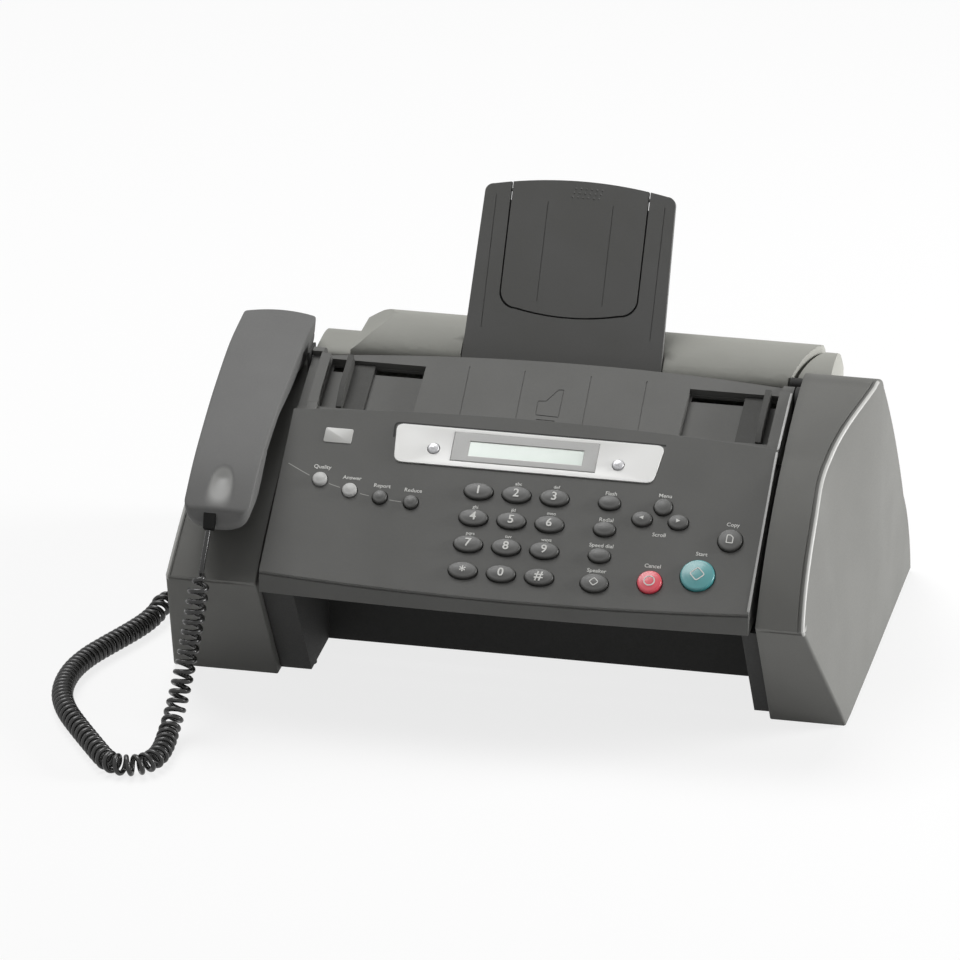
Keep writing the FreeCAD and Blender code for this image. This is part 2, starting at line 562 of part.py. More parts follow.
def build_display(holes):
    """Pale display bezel, the grey frame in it and the window over the glass."""
    outline = wire([(mm("bezel_base_left"), mm("bezel_base"), 0),
                    (mm("bezel_base_right"), mm("bezel_base"), 0),
                    (mm("bezel_top_right"), mm("bezel_top"), 0), (mm("bezel_top_left"), mm("bezel_top"), 0)])
    blank = extrude("bezel_blank", outline, V(0, 0, 1), "bezel_thick", at(0, 0, 0, PANEL))
    gap = mm("fit_gap")
    opening = box("bezel_opening", at(mm("frame_left"), mm("frame_low"), -1, PANEL),
                  "frame_right - frame_left", "frame_high - frame_low", "4")
    node(cut("display_bezel", blank, [opening] + holes), "display_bezel")
    plate = box("frame_plate", at(mm("frame_left") + gap, mm("frame_low") + gap, 0, PANEL),
                "frame_right - frame_left - 2 * fit_gap", "frame_high - frame_low - 2 * fit_gap",
                "frame_thick")
    hole = box("frame_hole", at(mm("glass_left"), mm("glass_low"), -1, PANEL), "glass_right - glass_left",
               "glass_high - glass_low", "4")
    node(cut("display_frame", plate, [hole]), "display_frame")
    glass = box("display_window", at(mm("glass_left"), mm("glass_low"), -mm("glass_drop"), PANEL),
                "glass_right - glass_left", "glass_high - glass_low", "glass_thick")
    node(glass, "display_window")


def build_tray():
    """Document tray with side rails and hinge ears, the guides in it and the pinion under it."""
    thick = mm("tray_thick")
    left, right = mm("door_left"), mm("door_right")
    width = "door_right - door_left"
    corners = [V(left, mm("tray_left_length"), 0), V(left, 0, 0), V(right, 0, 0),
               V(right, mm("tray_right_length"), 0)]
    rear = Part.Arc(corners[3], V(mm("tray_crest"), mm("tray_length"), 0), corners[0]).toShape()
    plate = extrude("tray_plate", Part.Wire(Part.makePolygon(corners).Edges + [rear]), V(0, 0, 1),
                    "tray_thick", at(0, 0, -thick, TRAY))
    inset = mm("wall") + mm("split_gap")
    nose = extrude("tray_nose", wire([(left + inset, y, z) for y, z in TRAY_NOSE]), X_AXIS,
                   f"{width} - 2 * ( wall + split_gap )")
    rails = [box("rail_left", at(left, mm("rail_low"), -1, TRAY), "rail_left - door_left", "rail_length",
                 "rail_height + 1"),
             box("rail_right", at(mm("rail_right"), mm("rail_low"), -1, TRAY), "door_right - rail_right",
                 "rail_length", "rail_height + 1")]
    ears = []
    for name, x in (("ear_left", left), ("ear_right", right - mm("ear_width"))):
        ears.append(rod(name, at(x, mm("hinge_y"), mm("hinge_z"), None, ALONG_X), "ear_radius", "ear_width"))
    whole = fuse("tray_whole", [plate, nose] + rails + ears)
    clear = mm("rack_clear")
    low, depth = mm("pocket_low"), mm("pocket_depth")
    pinion_v, radius = mm("pinion_v"), mm("pinion_teeth") * mm("tooth_module") / 2
    tools = [box("tray_rear", at(left - 1, mm("tray_back"), mm("tray_z")), f"{width} + 2", "10", "40")]
    for name, x in (("bore_left", left), ("bore_right", right - mm("ear_width"))):
        tools.append(rod(name, at(x - 1, mm("hinge_y"), mm("hinge_z"), None, ALONG_X), "pin_bore",
                         "ear_width + 2"))
    for side, low_x, high_x in (("left", "pocket_left_out", "pocket_left_in"),
                                ("right", "pocket_right_in", "pocket_right_out")):
        tools.append(box(f"pocket_{side}", at(mm(low_x), low, -depth, TRAY), f"{high_x} - {low_x}",
                         "pocket_high - pocket_low", "20"))
        tools.append(box(f"slot_{side}", at(mm(low_x) + 1, mm("neck_v") - mm("rack_width") / 2 - clear,
                                            -10, TRAY),
                         f"{high_x} - {low_x} - 2", "rack_width + 2 * rack_clear", "20"))
    node(cut("document_tray", whole, tools), "document_tray")

    pins = []
    for name, x, long in (("pin_left", mm("bay_left") + mm("fit_gap"), "left_pin_length"),
                          ("pin_right", right - mm("ear_width") + 0.5, "pin_length")):
        pins.append(rod(name, at(x, mm("hinge_y"), mm("hinge_z"), None, ALONG_X), "pin_radius", long))
    pair = doc.addObject("Part::Compound", "door_hinge_pins")
    pair.Links = pins
    node(pair, "door_hinge_pins")
    build_guides(pinion_v, radius, clear)


def rack_teeth(name, start, teeth, rack_v, facing, place_z):
    """A row of rack teeth, with a gap centred on the pinion."""
    pitch = math.pi * mm("tooth_module")
    flanks = [(-0.26, -1.3), (-0.20, 0), (-0.11, 0.8), (0.11, 0.8), (0.20, 0), (0.26, -1.3)]
    points = []
    for tooth in range(teeth):
        centre = mm("pinion_x") + (start + tooth + 0.5) * pitch
        for share, height in flanks:
            points.append((centre + share * pitch, rack_v + facing * height, 0))
    base = rack_v - facing * mm("rack_back")
    points = [(points[0][0], base, 0)] + points + [(points[-1][0], base, 0)]
    return extrude(name, wire(points), V(0, 0, 1), "rack_thick", at(0, 0, place_z, TRAY))


def build_guides(pinion_v, radius, clear):
    """Two document guides with racks that mesh with one pinion, so they close together."""
    thick, depth = mm("tray_thick"), mm("pocket_depth")
    rack_z = -thick - clear - mm("rack_thick")
    foot_low = mm("pocket_low") + clear
    for side, face, outward, rack_v, facing in (("left", mm("guide_left_face"), -1, pinion_v - radius, 1),
                                                ("right", mm("guide_right_face"), 1, pinion_v + radius, -1)):
        name = f"guide_{side}"
        fin_x = face - mm("fin_thick") if outward < 0 else face
        foot_x = face if outward < 0 else face - mm("guide_foot")
        foot_high, low = mm("pocket_high") - clear, clear - depth
        top = low + mm("fin_height")
        profile = [(foot_low, low), (foot_high, low), (foot_high, top), (foot_low + mm("fin_rise"), top),
                   (foot_low, mm("fin_nose"))]
        fin = extrude(name + "_fin", wire([(0, v, w) for v, w in profile]), X_AXIS, "fin_thick",
                      at(fin_x, 0, 0, TRAY))
        foot = box(name + "_foot", at(foot_x, foot_low, low, TRAY), "guide_foot",
                   "pocket_high - pocket_low - 2 * rack_clear", "foot_thick")
        neck_v = mm("neck_v")
        neck = box(name + "_neck", at(foot_x, neck_v - mm("rack_width") / 2, rack_z, TRAY), "guide_foot",
                   "rack_width", f"{-depth + clear + 0.4 - rack_z}")
        bar_v = rack_v - facing * mm("rack_back") - (mm("rack_width") if facing > 0 else 0)
        bar_low, bar_high = sorted((face, mm("pinion_x") - outward * mm("rack_past")))
        bar = box(name + "_bar", at(bar_low, bar_v, rack_z, TRAY), f"{bar_high - bar_low}", "rack_width",
                  "rack_thick")
        link_low = min(bar_v, neck_v - mm("rack_width") / 2)
        link_high = max(bar_v + mm("rack_width"), neck_v + mm("rack_width") / 2)
        link = box(name + "_link", at(foot_x, link_low, rack_z, TRAY), "guide_foot",
                   f"{link_high - link_low}",
                   "rack_thick")
        teeth = rack_teeth(name + "_teeth", -11 if outward < 0 else -2, 13, rack_v, facing, rack_z)
        node(fuse(f"document_guide_{side}", [fin, foot, neck, link, bar, teeth]), f"document_guide_{side}")
    wheel = extrude("pinion_wheel", tooth_ring(int(mm("pinion_teeth")), mm("tooth_module"), math.pi / 2),
                    V(0, 0, 1), "rack_thick", at(mm("pinion_x"), pinion_v, rack_z, TRAY))
    bore = rod("pinion_hole", at(mm("pinion_x"), pinion_v, rack_z - 1, TRAY), "pinion_bore",
               "rack_thick + 2")
    node(cut("guide_pinion", wheel, [bore]), "guide_pinion")


def handset_solid(name, points):
    """Part of the handset between side outlines, with rounded corners in plan."""
    left, right = mm("handset_left"), mm("handset_right")
    prism = extrude(name + "_prism", wire([(left, y, z) for y, z in points]), X_AXIS,
                    "handset_right - handset_left")
    low_y, high_y = mm("handset_front"), mm("handset_back")
    near, far, taper = mm("handset_round"), mm("handset_far_round"), mm("handset_taper")
    near_mid, far_mid = (r * (1 - math.sqrt(0.5)) for r in (near, far))
    end_y = high_y - mm("handset_bulge")
    middle = (left + right) / 2
    z = HANDSET_BASE[-2][1] - 1
    points = [V(left + taper, low_y + near, z), V(left + taper + near_mid, low_y + near_mid, z),
              V(left + taper + near, low_y, z),
              V(right - taper - near, low_y, z), V(right - taper - near_mid, low_y + near_mid, z),
              V(right - taper, low_y + near, z),
              V(right, end_y - far, z), V(right - far_mid, end_y - far_mid, z), V(right - far, end_y, z),
              V(middle, high_y, z), V(left + far, end_y, z), V(left + far_mid, end_y - far_mid, z),
              V(left, end_y - far, z)]
    edges = [Part.Arc(points[0], points[1], points[2]), Part.LineSegment(points[2], points[3]),
             Part.Arc(points[3], points[4], points[5]), Part.LineSegment(points[5], points[6]),
             Part.Arc(points[6], points[7], points[8]), Part.Arc(points[8], points[9], points[10]),
             Part.Arc(points[10], points[11], points[12]), Part.LineSegment(points[12], points[0])]
    plan = extrude(name + "_plan", Part.Wire([edge.toShape() for edge in edges]), V(0, 0, 1), "100")
    return common(name + "_form", prism, plan)


def build_handset():
    """Handset of two shells, its plug, the base plug and the hook switch under the earpiece."""
    drop, gap = mm("handset_parting"), mm("shell_gap")
    seam = [(y, z - drop * min(1, (z - 104) / 14)) for y, z in HANDSET_TOP[1:-1]]
    seam = [(mm("handset_front"), 107.5)] + seam + [(mm("handset_back"), 150)]
    upper = handset_solid("handset_upper", HANDSET_TOP + list(reversed(seam)))
    lower = handset_solid("handset_lower", [(y, z - gap) for y, z in seam] + HANDSET_BASE)
    turn = FreeCAD.Rotation(X_AXIS, mm("plug_tilt"))
    exit_frame = FreeCAD.Placement(V(*CORD_ROUTE[0]), turn)
    width, height = mm("plug_width"), mm("plug_height")
    socket = box("handset_socket", at(-width / 2 - 0.2, 2, -height / 2 - 0.2, exit_frame),
                 "plug_width + 0.4", "plug_length + 2", "plug_height + 0.4")
    node(cut("handset_upper_shell", upper, [socket]), "handset_upper_shell")
    node(cut("handset_lower_shell", lower, [socket]), "handset_lower_shell")
    node(box("handset_plug", at(-width / 2, mm("cord_gap"), -height / 2, exit_frame), "plug_width",
             "plug_length - cord_gap", "plug_height"), "handset_plug")
    node(box("base_plug", at(CORD_ROUTE[-1][0], mm("jack_y") - width / 2, mm("jack_z") - height / 2),
             "plug_length", "plug_width", "plug_height"), "base_plug")
    node(rod("hook_switch", at(mm("hook_x"), mm("hook_y"), mm("hook_top") - mm("hook_length")),
             "hook_radius", "hook_length"), "hook_switch")


class Route:
    """Straight runs joined by tangent arcs, read by the length gone along it."""

    SHARE = 0.45

    def __init__(self, points):
        points = [V(*p) for p in points]
        self.spans, self.radii = [], []
        here = points[0]
        for before, corner, after in zip(points, points[1:], points[2:]):
            inward, outward = (corner - before), (after - corner)
            reach = self.SHARE * min(inward.Length, outward.Length)
            inward.normalize()
            outward.normalize()
            turn = inward.getAngle(outward)
            radius = reach / math.tan(turn / 2)
            self.radii.append(radius)
            start, end = corner - inward * reach, corner + outward * reach
            axis = inward.cross(outward).normalize()
            self.spans.append(("line", here, start, (start - here).Length, inward, axis, 0))
            self.spans.append(("arc", start, end, radius * turn, inward, axis, radius))
            here = end
        last = points[-1] - here
        heading = V(last).normalize()
        self.spans.append(("line", here, points[-1], last.Length, heading, V(0, 0, 1), 0))
        self.length = sum(span[3] for span in self.spans)

    def at(self, distance):
        """Point, heading and two cross directions, carried along without twist."""
        side = self.spans[0][4].cross(X_AXIS).normalize()
        left = min(max(distance, 0), self.length)
        for kind, start, _, length, heading, axis, radius in self.spans:
            gone = min(left, length)
            last = left <= length
            if kind == "line":
                point, facing = start + heading * gone, heading
            else:
                turn = FreeCAD.Rotation(axis, math.degrees(gone / radius))
                centre = start + axis.cross(heading) * radius
                point = centre + turn.multVec(start - centre)
                facing = turn.multVec(heading)
                side = turn.multVec(side)
            if last:
                break
            left -= length
        side = (side - facing * side.dot(facing)).normalize()
        return point, facing, side, facing.cross(side)


def pitch_at(distance):
    """Curl spacing at a length along the cord."""
    for (start, first), (end, second) in zip(CURL_PITCH, CURL_PITCH[1:]):
        if distance <= end:
            return first + (second - first) * (distance - start) / (end - start)
    return CURL_PITCH[-1][1]


class Curl:
    """Helix about a route that swells from a straight lead and dies away again."""

    def __init__(self, route):
        self.route = route
        self.first, self.last = mm("curl_lead"), route.length - mm("curl_tail")
        self.marks = [self.first]
        while self.marks[-1] < self.last:
            self.marks.append(self.marks[-1] + pitch_at(self.marks[-1]) / 2)
        self.marks.pop()
        self.turns = (len(self.marks) - 1) / 2

    def phase(self, distance):
        """Turn angle, half a turn from mark to mark."""
        low, high = self.marks[0], self.marks[-1]
        if distance <= low:
            return 0.0
        if distance >= high:
            return math.pi * (len(self.marks) - 1)
        first, last = 0, len(self.marks) - 1
        while last - first > 1:
            middle = (first + last) // 2
            if self.marks[middle] <= distance:
                first = middle
            else:
                last = middle
        share = (distance - self.marks[first]) / (self.marks[last] - self.marks[first])
        return math.pi * (first + share)

    def swell(self, distance):
        """Share of the full curl radius, eased over two turns at each end."""
        ramp = 2 * pitch_at(distance)
        share = min(distance - self.marks[0], self.marks[-1] - distance) / ramp
        share = min(max(share, 0), 1)
        return share * share * (3 - 2 * share)

    def point(self, distance):
        """Point on the middle of the wire."""
        middle, _, side, up = self.route.at(distance)
        angle, reach = self.phase(distance), mm("curl_radius") * self.swell(distance)
        return middle + side * (reach * math.cos(angle)) + up * (reach * math.sin(angle))

    def heading(self, distance):
        """Direction of the wire."""
        step = 0.01
        return (self.point(distance + step) - self.point(distance - step)).normalize()

    def stations(self):
        """Lengths where the wire's arcs meet: a few on the leads, each half turn between."""
        lead = [self.first * k / 6 for k in range(6)]
        end = self.marks[-1]
        tail = [end + (self.route.length - end) * k / 6 for k in range(1, 7)]
        return lead + self.marks + tail


def tangent_arc(start, bend, end):
    """Arc from start to end whose end tangents meet at bend."""
    half = (start + end) * 0.5
    rise = bend - half
    if rise.Length < 1e-4:
        return Part.LineSegment(start, end).toShape()
    chord = (end - start).Length / 2
    sag = chord * math.tan(math.atan2(rise.Length, chord) / 2)
    return Part.Arc(start, half + rise.normalize() * sag, end).toShape()


def biarc(start, heading, end, facing):
    """Two arcs that leave along one heading and arrive along another."""
    across, both = end - start, heading + facing
    bend = 2 * (1 - heading.dot(facing))
    pull = across.dot(both)
    if bend < 1e-9:
        reach = across.Length / 4 if pull <= 0 else across.dot(across) / (2 * pull)
    else:
        reach = (-pull + math.sqrt(pull * pull + bend * across.dot(across))) / bend
    first, second = start + heading * reach, end - facing * reach
    middle = (first + second) * 0.5
    return [tangent_arc(start, first, middle), tangent_arc(middle, second, end)]


def least_gap(curl):
    """Smallest clear space between two stretches of the wire, measured on points."""
    per_turn = 20
    points, gone = [], [0]
    for k in range(int(curl.turns * per_turn)):
        mark = k * 2 / per_turn
        low = int(mark)
        points.append(curl.point(curl.marks[low] + (mark - low) * (curl.marks[low + 1] - curl.marks[low])))
    for first, second in zip(points, points[1:]):
        gone.append(gone[-1] + (second - first).Length)
    apart = 4 * mm("wire")
    near = min((points[i] - points[j]).Length for i in range(len(points))
               for j in range(i, min(i + 4 * per_turn, len(points))) if gone[j] - gone[i] > apart)
    coarse = points[::5]
    far = min((coarse[i] - coarse[j]).Length for i in range(len(coarse)) for j in range(i + 12, len(coarse)))
    return min(near, far) - mm("wire")


def build_cord():
    """Curly handset cord, one unbroken wire from the handset's plug to the base's."""
    route = Route(CORD_ROUTE)
    print("cord route length", round(route.length, 1), "radii", [round(r, 1) for r in route.radii])
    curl = Curl(route)
    print("curls", curl.turns, "least gap", round(least_gap(curl), 2))
    marks = curl.stations()
    points = [curl.point(mark) for mark in marks]
    headings = [curl.heading(min(max(mark, 0.02), route.length - 0.02)) for mark in marks]
    headings[0], headings[-1] = route.at(0)[1], route.at(route.length)[1]
    edges = []
    for k in range(len(marks) - 1):
        edges += biarc(points[k], headings[k], points[k + 1], headings[k + 1])
    path = Part.Wire(edges)
    ring = Part.Wire(Part.makeCircle(mm("wire") / 2, points[0], headings[0]))
    shell = Part.BRepOffsetAPI.MakePipeShell(path)
    shell.add(ring)
    shell.build()
    shell.makeSolid()
    solid = shell.shape()
    print("wire length", round(path.Length, 1), "volume share",
          round(solid.Volume / (path.Length * math.pi * mm("wire") ** 2 / 4), 4))
    node(feature("handset_cord", solid), "handset_cord")


def build_works():
    """Printing works: carriage on its rod, cartridge, geared feed roller, motor and board."""
    left, right, wall = mm("bay_left"), mm("bay_right"), mm("wall")
    node(rod("carriage_rod", at(left + 0.2, mm("rod_y"), mm("rod_z"), None, ALONG_X), "rod_radius",
             "bay_right - bay_left - 0.4"), "carriage_rod")
    x = mm("carriage_x")
    block = box("carriage_block", at(x, mm("rod_y") - 10, mm("rod_z") - 26), "carriage_width",
                "carriage_depth - 24",
                "carriage_height")
    well = box("carriage_well", at(x + 5, mm("rod_y") + 8, mm("rod_z") - 26), "carriage_width - 10",
               "carriage_depth - 26", "carriage_height - 6")
    shelf = box("carriage_shelf", at(x, mm("rod_y") + 8, mm("rod_z") - 26), "carriage_width",
                "carriage_depth - 22",
                "carriage_height - 12")
    bore = rod("carriage_bore", at(x - 1, mm("rod_y"), mm("rod_z"), None, ALONG_X), "rod_bore",
               "carriage_width + 2")
    room = box("carriage_room", at(x + 5, mm("rod_y") + 11, mm("rod_z") - 23), "carriage_width - 10",
               "carriage_depth - 28", "carriage_height")
    node(cut("print_carriage", fuse("carriage_whole", [block, shelf, well]), [bore, room]), "print_carriage")
    node(box("ink_cartridge", at(x + 5.3, mm("rod_y") + 11.3, mm("rod_z") - 23), "carriage_width - 10.6",
             "carriage_depth - 28.6", "carriage_height - 8"), "ink_cartridge")

    y, z = mm("roller_y"), mm("roller_z")
    sleeve = rod("roller_sleeve", at(left + wall + 1, y, z, None, ALONG_X), "roller_radius",
                 "gear_x - bay_left - wall - 2")
    shaft = rod("roller_shaft", at(left + 0.2, y, z, None, ALONG_X), "shaft_radius",
                "bay_right - bay_left - 0.4")
    gear = extrude("roller_gear", tooth_ring(int(mm("gear_teeth")), mm("tooth_module"), math.pi / 2),
                   V(0, 0, 1),
                   "gear_width", at(mm("gear_x"), y, z, None, ALONG_X))
    node(fuse("paper_feed_roller", [sleeve, shaft, gear]), "paper_feed_roller")
    reach = (mm("gear_teeth") + mm("drive_teeth")) * mm("tooth_module") / 2
    phase = -math.pi / 2 + math.pi / mm("drive_teeth")
    wheel = extrude("drive_wheel", tooth_ring(int(mm("drive_teeth")), mm("tooth_module"), phase), V(0, 0, 1),
                    "gear_width", at(mm("gear_x"), y + reach, z, None, ALONG_X))
    spindle = rod("drive_spindle", at(mm("gear_x") - 6, y + reach, z, None, ALONG_X),
                  "shaft_radius * 0.5", "7")
    node(fuse("drive_pinion", [wheel, spindle]), "drive_pinion")
    body = rod("motor_body", at(mm("gear_x") - 2 - mm("motor_length"), y + reach, z, None, ALONG_X),
               "motor_radius", "motor_length")
    mouth = rod("motor_mouth", at(mm("gear_x") - 8, y + reach, z, None, ALONG_X),
                "shaft_radius * 0.5 + 0.05", "12")
    stand = box("motor_stand", at(mm("gear_x") - 30, y + reach - 10, mm("pan_bottom") + wall),
                "motor_foot", "20",
                "roller_z - pan_bottom - wall - motor_radius + 2")
    node(cut("feed_motor", fuse("motor_whole", [body, stand]), [mouth]), "feed_motor")
    node(box("main_board", at(mm("main_board_x"), mm("main_board_y"),
                              mm("pan_bottom") + wall + mm("board_stand")),
             "main_board_long", "main_board_wide", "board_thick"), "main_board")


def check_and_write():
    """Stop on any failed object or bad solid, then write every node."""
    doc.recompute()
    bad = [item.Name for item in doc.Objects if {"Invalid", "Error"} & set(item.State)]
    for item in nodes:
        if item.Shape.isNull() or not item.Shape.isValid() or not item.Shape.Solids:
            bad.append(item.Label)
    if bad:
        raise RuntimeError("failed objects: " + ", ".join(bad))
    os.makedirs("parts", exist_ok=True)
    for item in nodes:
        item.Shape.exportStep(os.path.join("parts", item.Label + ".step"))
    print(len(nodes), "nodes written")


build_base()
build_rear_cover()
build_support()
key_holes = build_keys()
build_panel(key_holes)
build_display(key_holes[-2:])
build_tray()
build_handset()
build_works()
build_cord()
check_and_write()
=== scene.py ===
"""Looks of a desktop fax machine with a corded handset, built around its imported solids."""
import logging
import math
from dataclasses import dataclass, field
from enum import Enum

import bmesh
import bpy
import numpy as np
from mathutils import Matrix, Vector


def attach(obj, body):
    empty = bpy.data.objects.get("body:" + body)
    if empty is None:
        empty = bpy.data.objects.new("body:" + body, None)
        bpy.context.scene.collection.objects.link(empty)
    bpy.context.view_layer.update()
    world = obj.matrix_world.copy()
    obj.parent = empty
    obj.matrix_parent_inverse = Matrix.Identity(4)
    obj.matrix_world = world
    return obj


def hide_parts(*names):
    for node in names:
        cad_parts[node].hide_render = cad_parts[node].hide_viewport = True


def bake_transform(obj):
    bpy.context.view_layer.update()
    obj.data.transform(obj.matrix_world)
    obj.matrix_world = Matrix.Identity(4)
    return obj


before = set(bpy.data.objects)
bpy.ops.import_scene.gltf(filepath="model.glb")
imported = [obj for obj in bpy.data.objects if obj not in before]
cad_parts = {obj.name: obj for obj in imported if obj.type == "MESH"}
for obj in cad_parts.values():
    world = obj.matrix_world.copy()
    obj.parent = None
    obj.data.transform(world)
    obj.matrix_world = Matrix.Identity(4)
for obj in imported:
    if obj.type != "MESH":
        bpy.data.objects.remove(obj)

LOG = logging.getLogger("fax_machine")
Array = np.ndarray
Object = bpy.types.Object
MM = 0.001
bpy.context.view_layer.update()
# Corners closer than this, in metres, become one.
MERGE = 2e-6
# Angles in degrees: edges sharper than the first are rounded, faces flatter than the second are joined.
ROUND_ABOVE, FLAT_BELOW = 30.0, 0.6
# Sockets of the mix node, whose names repeat for each kind of value.
SHARE, NUMBER_A, NUMBER_B, COLOUR_A, COLOUR_B, COLOUR_OUT = 0, 2, 3, 6, 7, 2


def linear(hex_colour: str) -> tuple[float, float, float, float]:
    """Turn an sRGB hex value into linear colour with full alpha.

    Args:
        hex_colour: Value such as #808080.

    Returns:
        Red, green, blue and alpha.
    """
    channels = np.array([int(hex_colour[i:i + 2], 16) for i in (1, 3, 5)]) / 255
    bright = ((channels + 0.055) / 1.055) ** 2.4
    return (*np.where(channels <= 0.04045, channels / 12.92, bright).tolist(), 1.0)


def add_node(tree: bpy.types.NodeTree, kind: str, settings: dict | None = None,
             links: dict | None = None) -> bpy.types.Node:
    """Add one node with its settings and links.

    Args:
        tree: Node tree that takes the node.
        kind: Blender's type name.
        settings: Property names, or socket names and numbers, with their values.
        links: Input socket names or numbers, with the outputs that feed them.

    Returns:
        The new node.
    """
    node = tree.nodes.new(kind)
    for key, value in (settings or {}).items():
        if isinstance(key, str) and hasattr(node, key):
            setattr(node, key, value)
        else:
            node.inputs[key].default_value = value
    for key, source in (links or {}).items():
        tree.links.new(source, node.inputs[key])
    return node


class Grain(Enum):
    """How a surface was made, as the stretch of its fine pattern along X, Y and Z."""

    MOULDED = (1.0, 1.0, 1.0)
    BRUSHED = (0.04, 1.0, 1.0)
    ETCHED = (1.0, 0.25, 1.0)


@dataclass(frozen=True)
class Finish:
    """One finish: the material, its making, and what that gives the eye."""

    name: str
    colour: str
    mottle: str
    roughness: float
    ior: float = 1.54
    metallic: float = 0.0
    grain: Grain = Grain.MOULDED
    grain_mm: float = 0.9
    relief_mm: float = 0.03
    patch_mm: float = 45.0
    uneven: float = 0.06
    coat: float = 0.0
    coat_roughness: float = 0.12
    sheen_level: float = 0.5
    # Paler colour and lower roughness for corners marked with a painted highlight.
    painted_highlight: str = ""
    highlight_roughness: float = 0.38
    bump: float = 0.35

    def material(self) -> bpy.types.Material:
        """Node material: soft colour patches, fine relief and a roughness that follows it.

        Returns:
            The material, made on first use.
        """
        made = bpy.data.materials.get(self.name)
        if made:
            return made
        made = bpy.data.materials.new(self.name)
        made.use_nodes = True
        tree = made.node_tree
        tree.nodes.clear()
        place = add_node(tree, "ShaderNodeTexCoord")
        stretch = add_node(tree, "ShaderNodeMapping", {"Scale": self.grain.value},
                           {"Vector": place.outputs["Object"]})
        fine = add_node(tree, "ShaderNodeTexNoise",
                        {"Scale": 1 / (self.grain_mm * MM), "Detail": 3.0, "Roughness": 0.55},
                        {"Vector": stretch.outputs["Vector"]})
        broad = add_node(tree, "ShaderNodeTexNoise", {"Scale": 1 / (self.patch_mm * MM), "Detail": 2.0},
                         {"Vector": place.outputs["Object"]})
        share = add_node(tree, "ShaderNodeMapRange", {"From Min": 0.35, "From Max": 0.65},
                         {"Value": broad.outputs[0]})
        tint = add_node(tree, "ShaderNodeMix",
                        {"data_type": "RGBA", COLOUR_A: linear(self.colour), COLOUR_B: linear(self.mottle)},
                        {SHARE: share.outputs[0]})
        rough = add_node(tree, "ShaderNodeMapRange",
                         {"From Min": 0.3, "From Max": 0.7, "To Min": self.roughness - self.uneven,
                          "To Max": self.roughness + self.uneven}, {"Value": fine.outputs[0]})
        # Corners marked by the attribute get a painted highlight: a paler colour and a lower roughness.
        if self.painted_highlight:
            mark = add_node(tree, "ShaderNodeAttribute", {"attribute_name": "painted_highlight"})
            tint = add_node(tree, "ShaderNodeMix", {"data_type": "RGBA", COLOUR_B: linear(self.painted_highlight)},
                            {SHARE: mark.outputs["Fac"], COLOUR_A: tint.outputs[COLOUR_OUT]})
            rough = add_node(tree, "ShaderNodeMix", {"data_type": "FLOAT", NUMBER_B: self.highlight_roughness},
                             {SHARE: mark.outputs["Fac"], NUMBER_A: rough.outputs[0]})
        relief = add_node(tree, "ShaderNodeBump", {"Strength": self.bump, "Distance": self.relief_mm * MM},
                          {"Height": fine.outputs[0]})
        shader = add_node(tree, "ShaderNodeBsdfPrincipled",
                          {"Metallic": self.metallic, "Coat Weight": self.coat, "IOR": self.ior,
                           "Coat Roughness": self.coat_roughness, "Specular IOR Level": self.sheen_level},
                          {"Base Color": tint.outputs[COLOUR_OUT], "Roughness": rough.outputs[0],
                           "Normal": relief.outputs[0]})
        add_node(tree, "ShaderNodeOutputMaterial", None, {"Surface": shader.outputs[0]})
        return made


# Spark-eroded mould steel leaves ABS with an even fine grain and a soft satin gloss; the grain is drawn a
# little coarser than the real 0.2 mm so that it shows.
# The rounded outer edges of the case ends carry a paler painted highlight.
CASE_ABS = Finish("moulded_abs_case_grey", "#6a6a67", "#656562", 0.68, sheen_level=0.3, painted_highlight="#a9a9a6")
# REAR_ABS, TRAY_ABS, SUPPORT_ABS and GUIDE_ABS copy the case's grey plastic: the rear cover's paler grey is
# painted light, and the darker greys of the tray, support and guides are painted shade.
REAR_ABS = Finish("moulded_abs_rear_grey", "#9d9d97", "#979791", 0.72, sheen_level=0.3)
PANEL_ABS = Finish("moulded_abs_panel_grey", "#5f5f5d", "#5a5a58", 0.68, sheen_level=0.3)
TRAY_ABS = Finish("moulded_abs_tray_grey", "#656563", "#60605e", 0.72, sheen_level=0.3)
SUPPORT_ABS = Finish("moulded_abs_support_grey", "#616160", "#5d5d5b", 0.72, sheen_level=0.3)
GUIDE_ABS = Finish("moulded_abs_guide_grey", "#464644", "#424240", 0.72, sheen_level=0.3)
BASE_ABS = Finish("moulded_abs_base_dark", "#30302f", "#2c2c2b", 0.72, sheen_level=0.3)
# Held all day, the handset's grain is worn a little smoother; its thumb scoop carries a painted highlight,
# paler and glossier than the top around it.
HANDSET_ABS = Finish("moulded_abs_handset_grey", "#646463", "#5f5f5e", 0.64, relief_mm=0.02,
                     sheen_level=0.35, painted_highlight="#8e8e8c")
# A moulded bead painted paler and glossier than the faces beside it: a painted highlight along a rounded
# edge that catches the light.
EDGE_HIGHLIGHT_ABS = Finish("abs_edge_painted_highlight", "#a2a2a0", "#9c9c9a", 0.36, relief_mm=0.01)
# Keys are polished by fingers, so their grain is shallow.
KEY_ABS = Finish("moulded_abs_key_dark", "#40403e", "#3b3b39", 0.46, relief_mm=0.012)
KEY_PALE_ABS = Finish("moulded_abs_key_pale", "#b6b6b4", "#adadab", 0.46, relief_mm=0.012)
# Polycarbonate from a polished mould has a clear skin over its colour, so it gleams like lacquer.
KEY_TEAL_PC = Finish("moulded_polycarbonate_teal", "#4c9799", "#458f92", 0.33, relief_mm=0.008, coat=0.25)
KEY_RED_PC = Finish("moulded_polycarbonate_red", "#dc4a59", "#d54352", 0.33, relief_mm=0.008, coat=0.25)
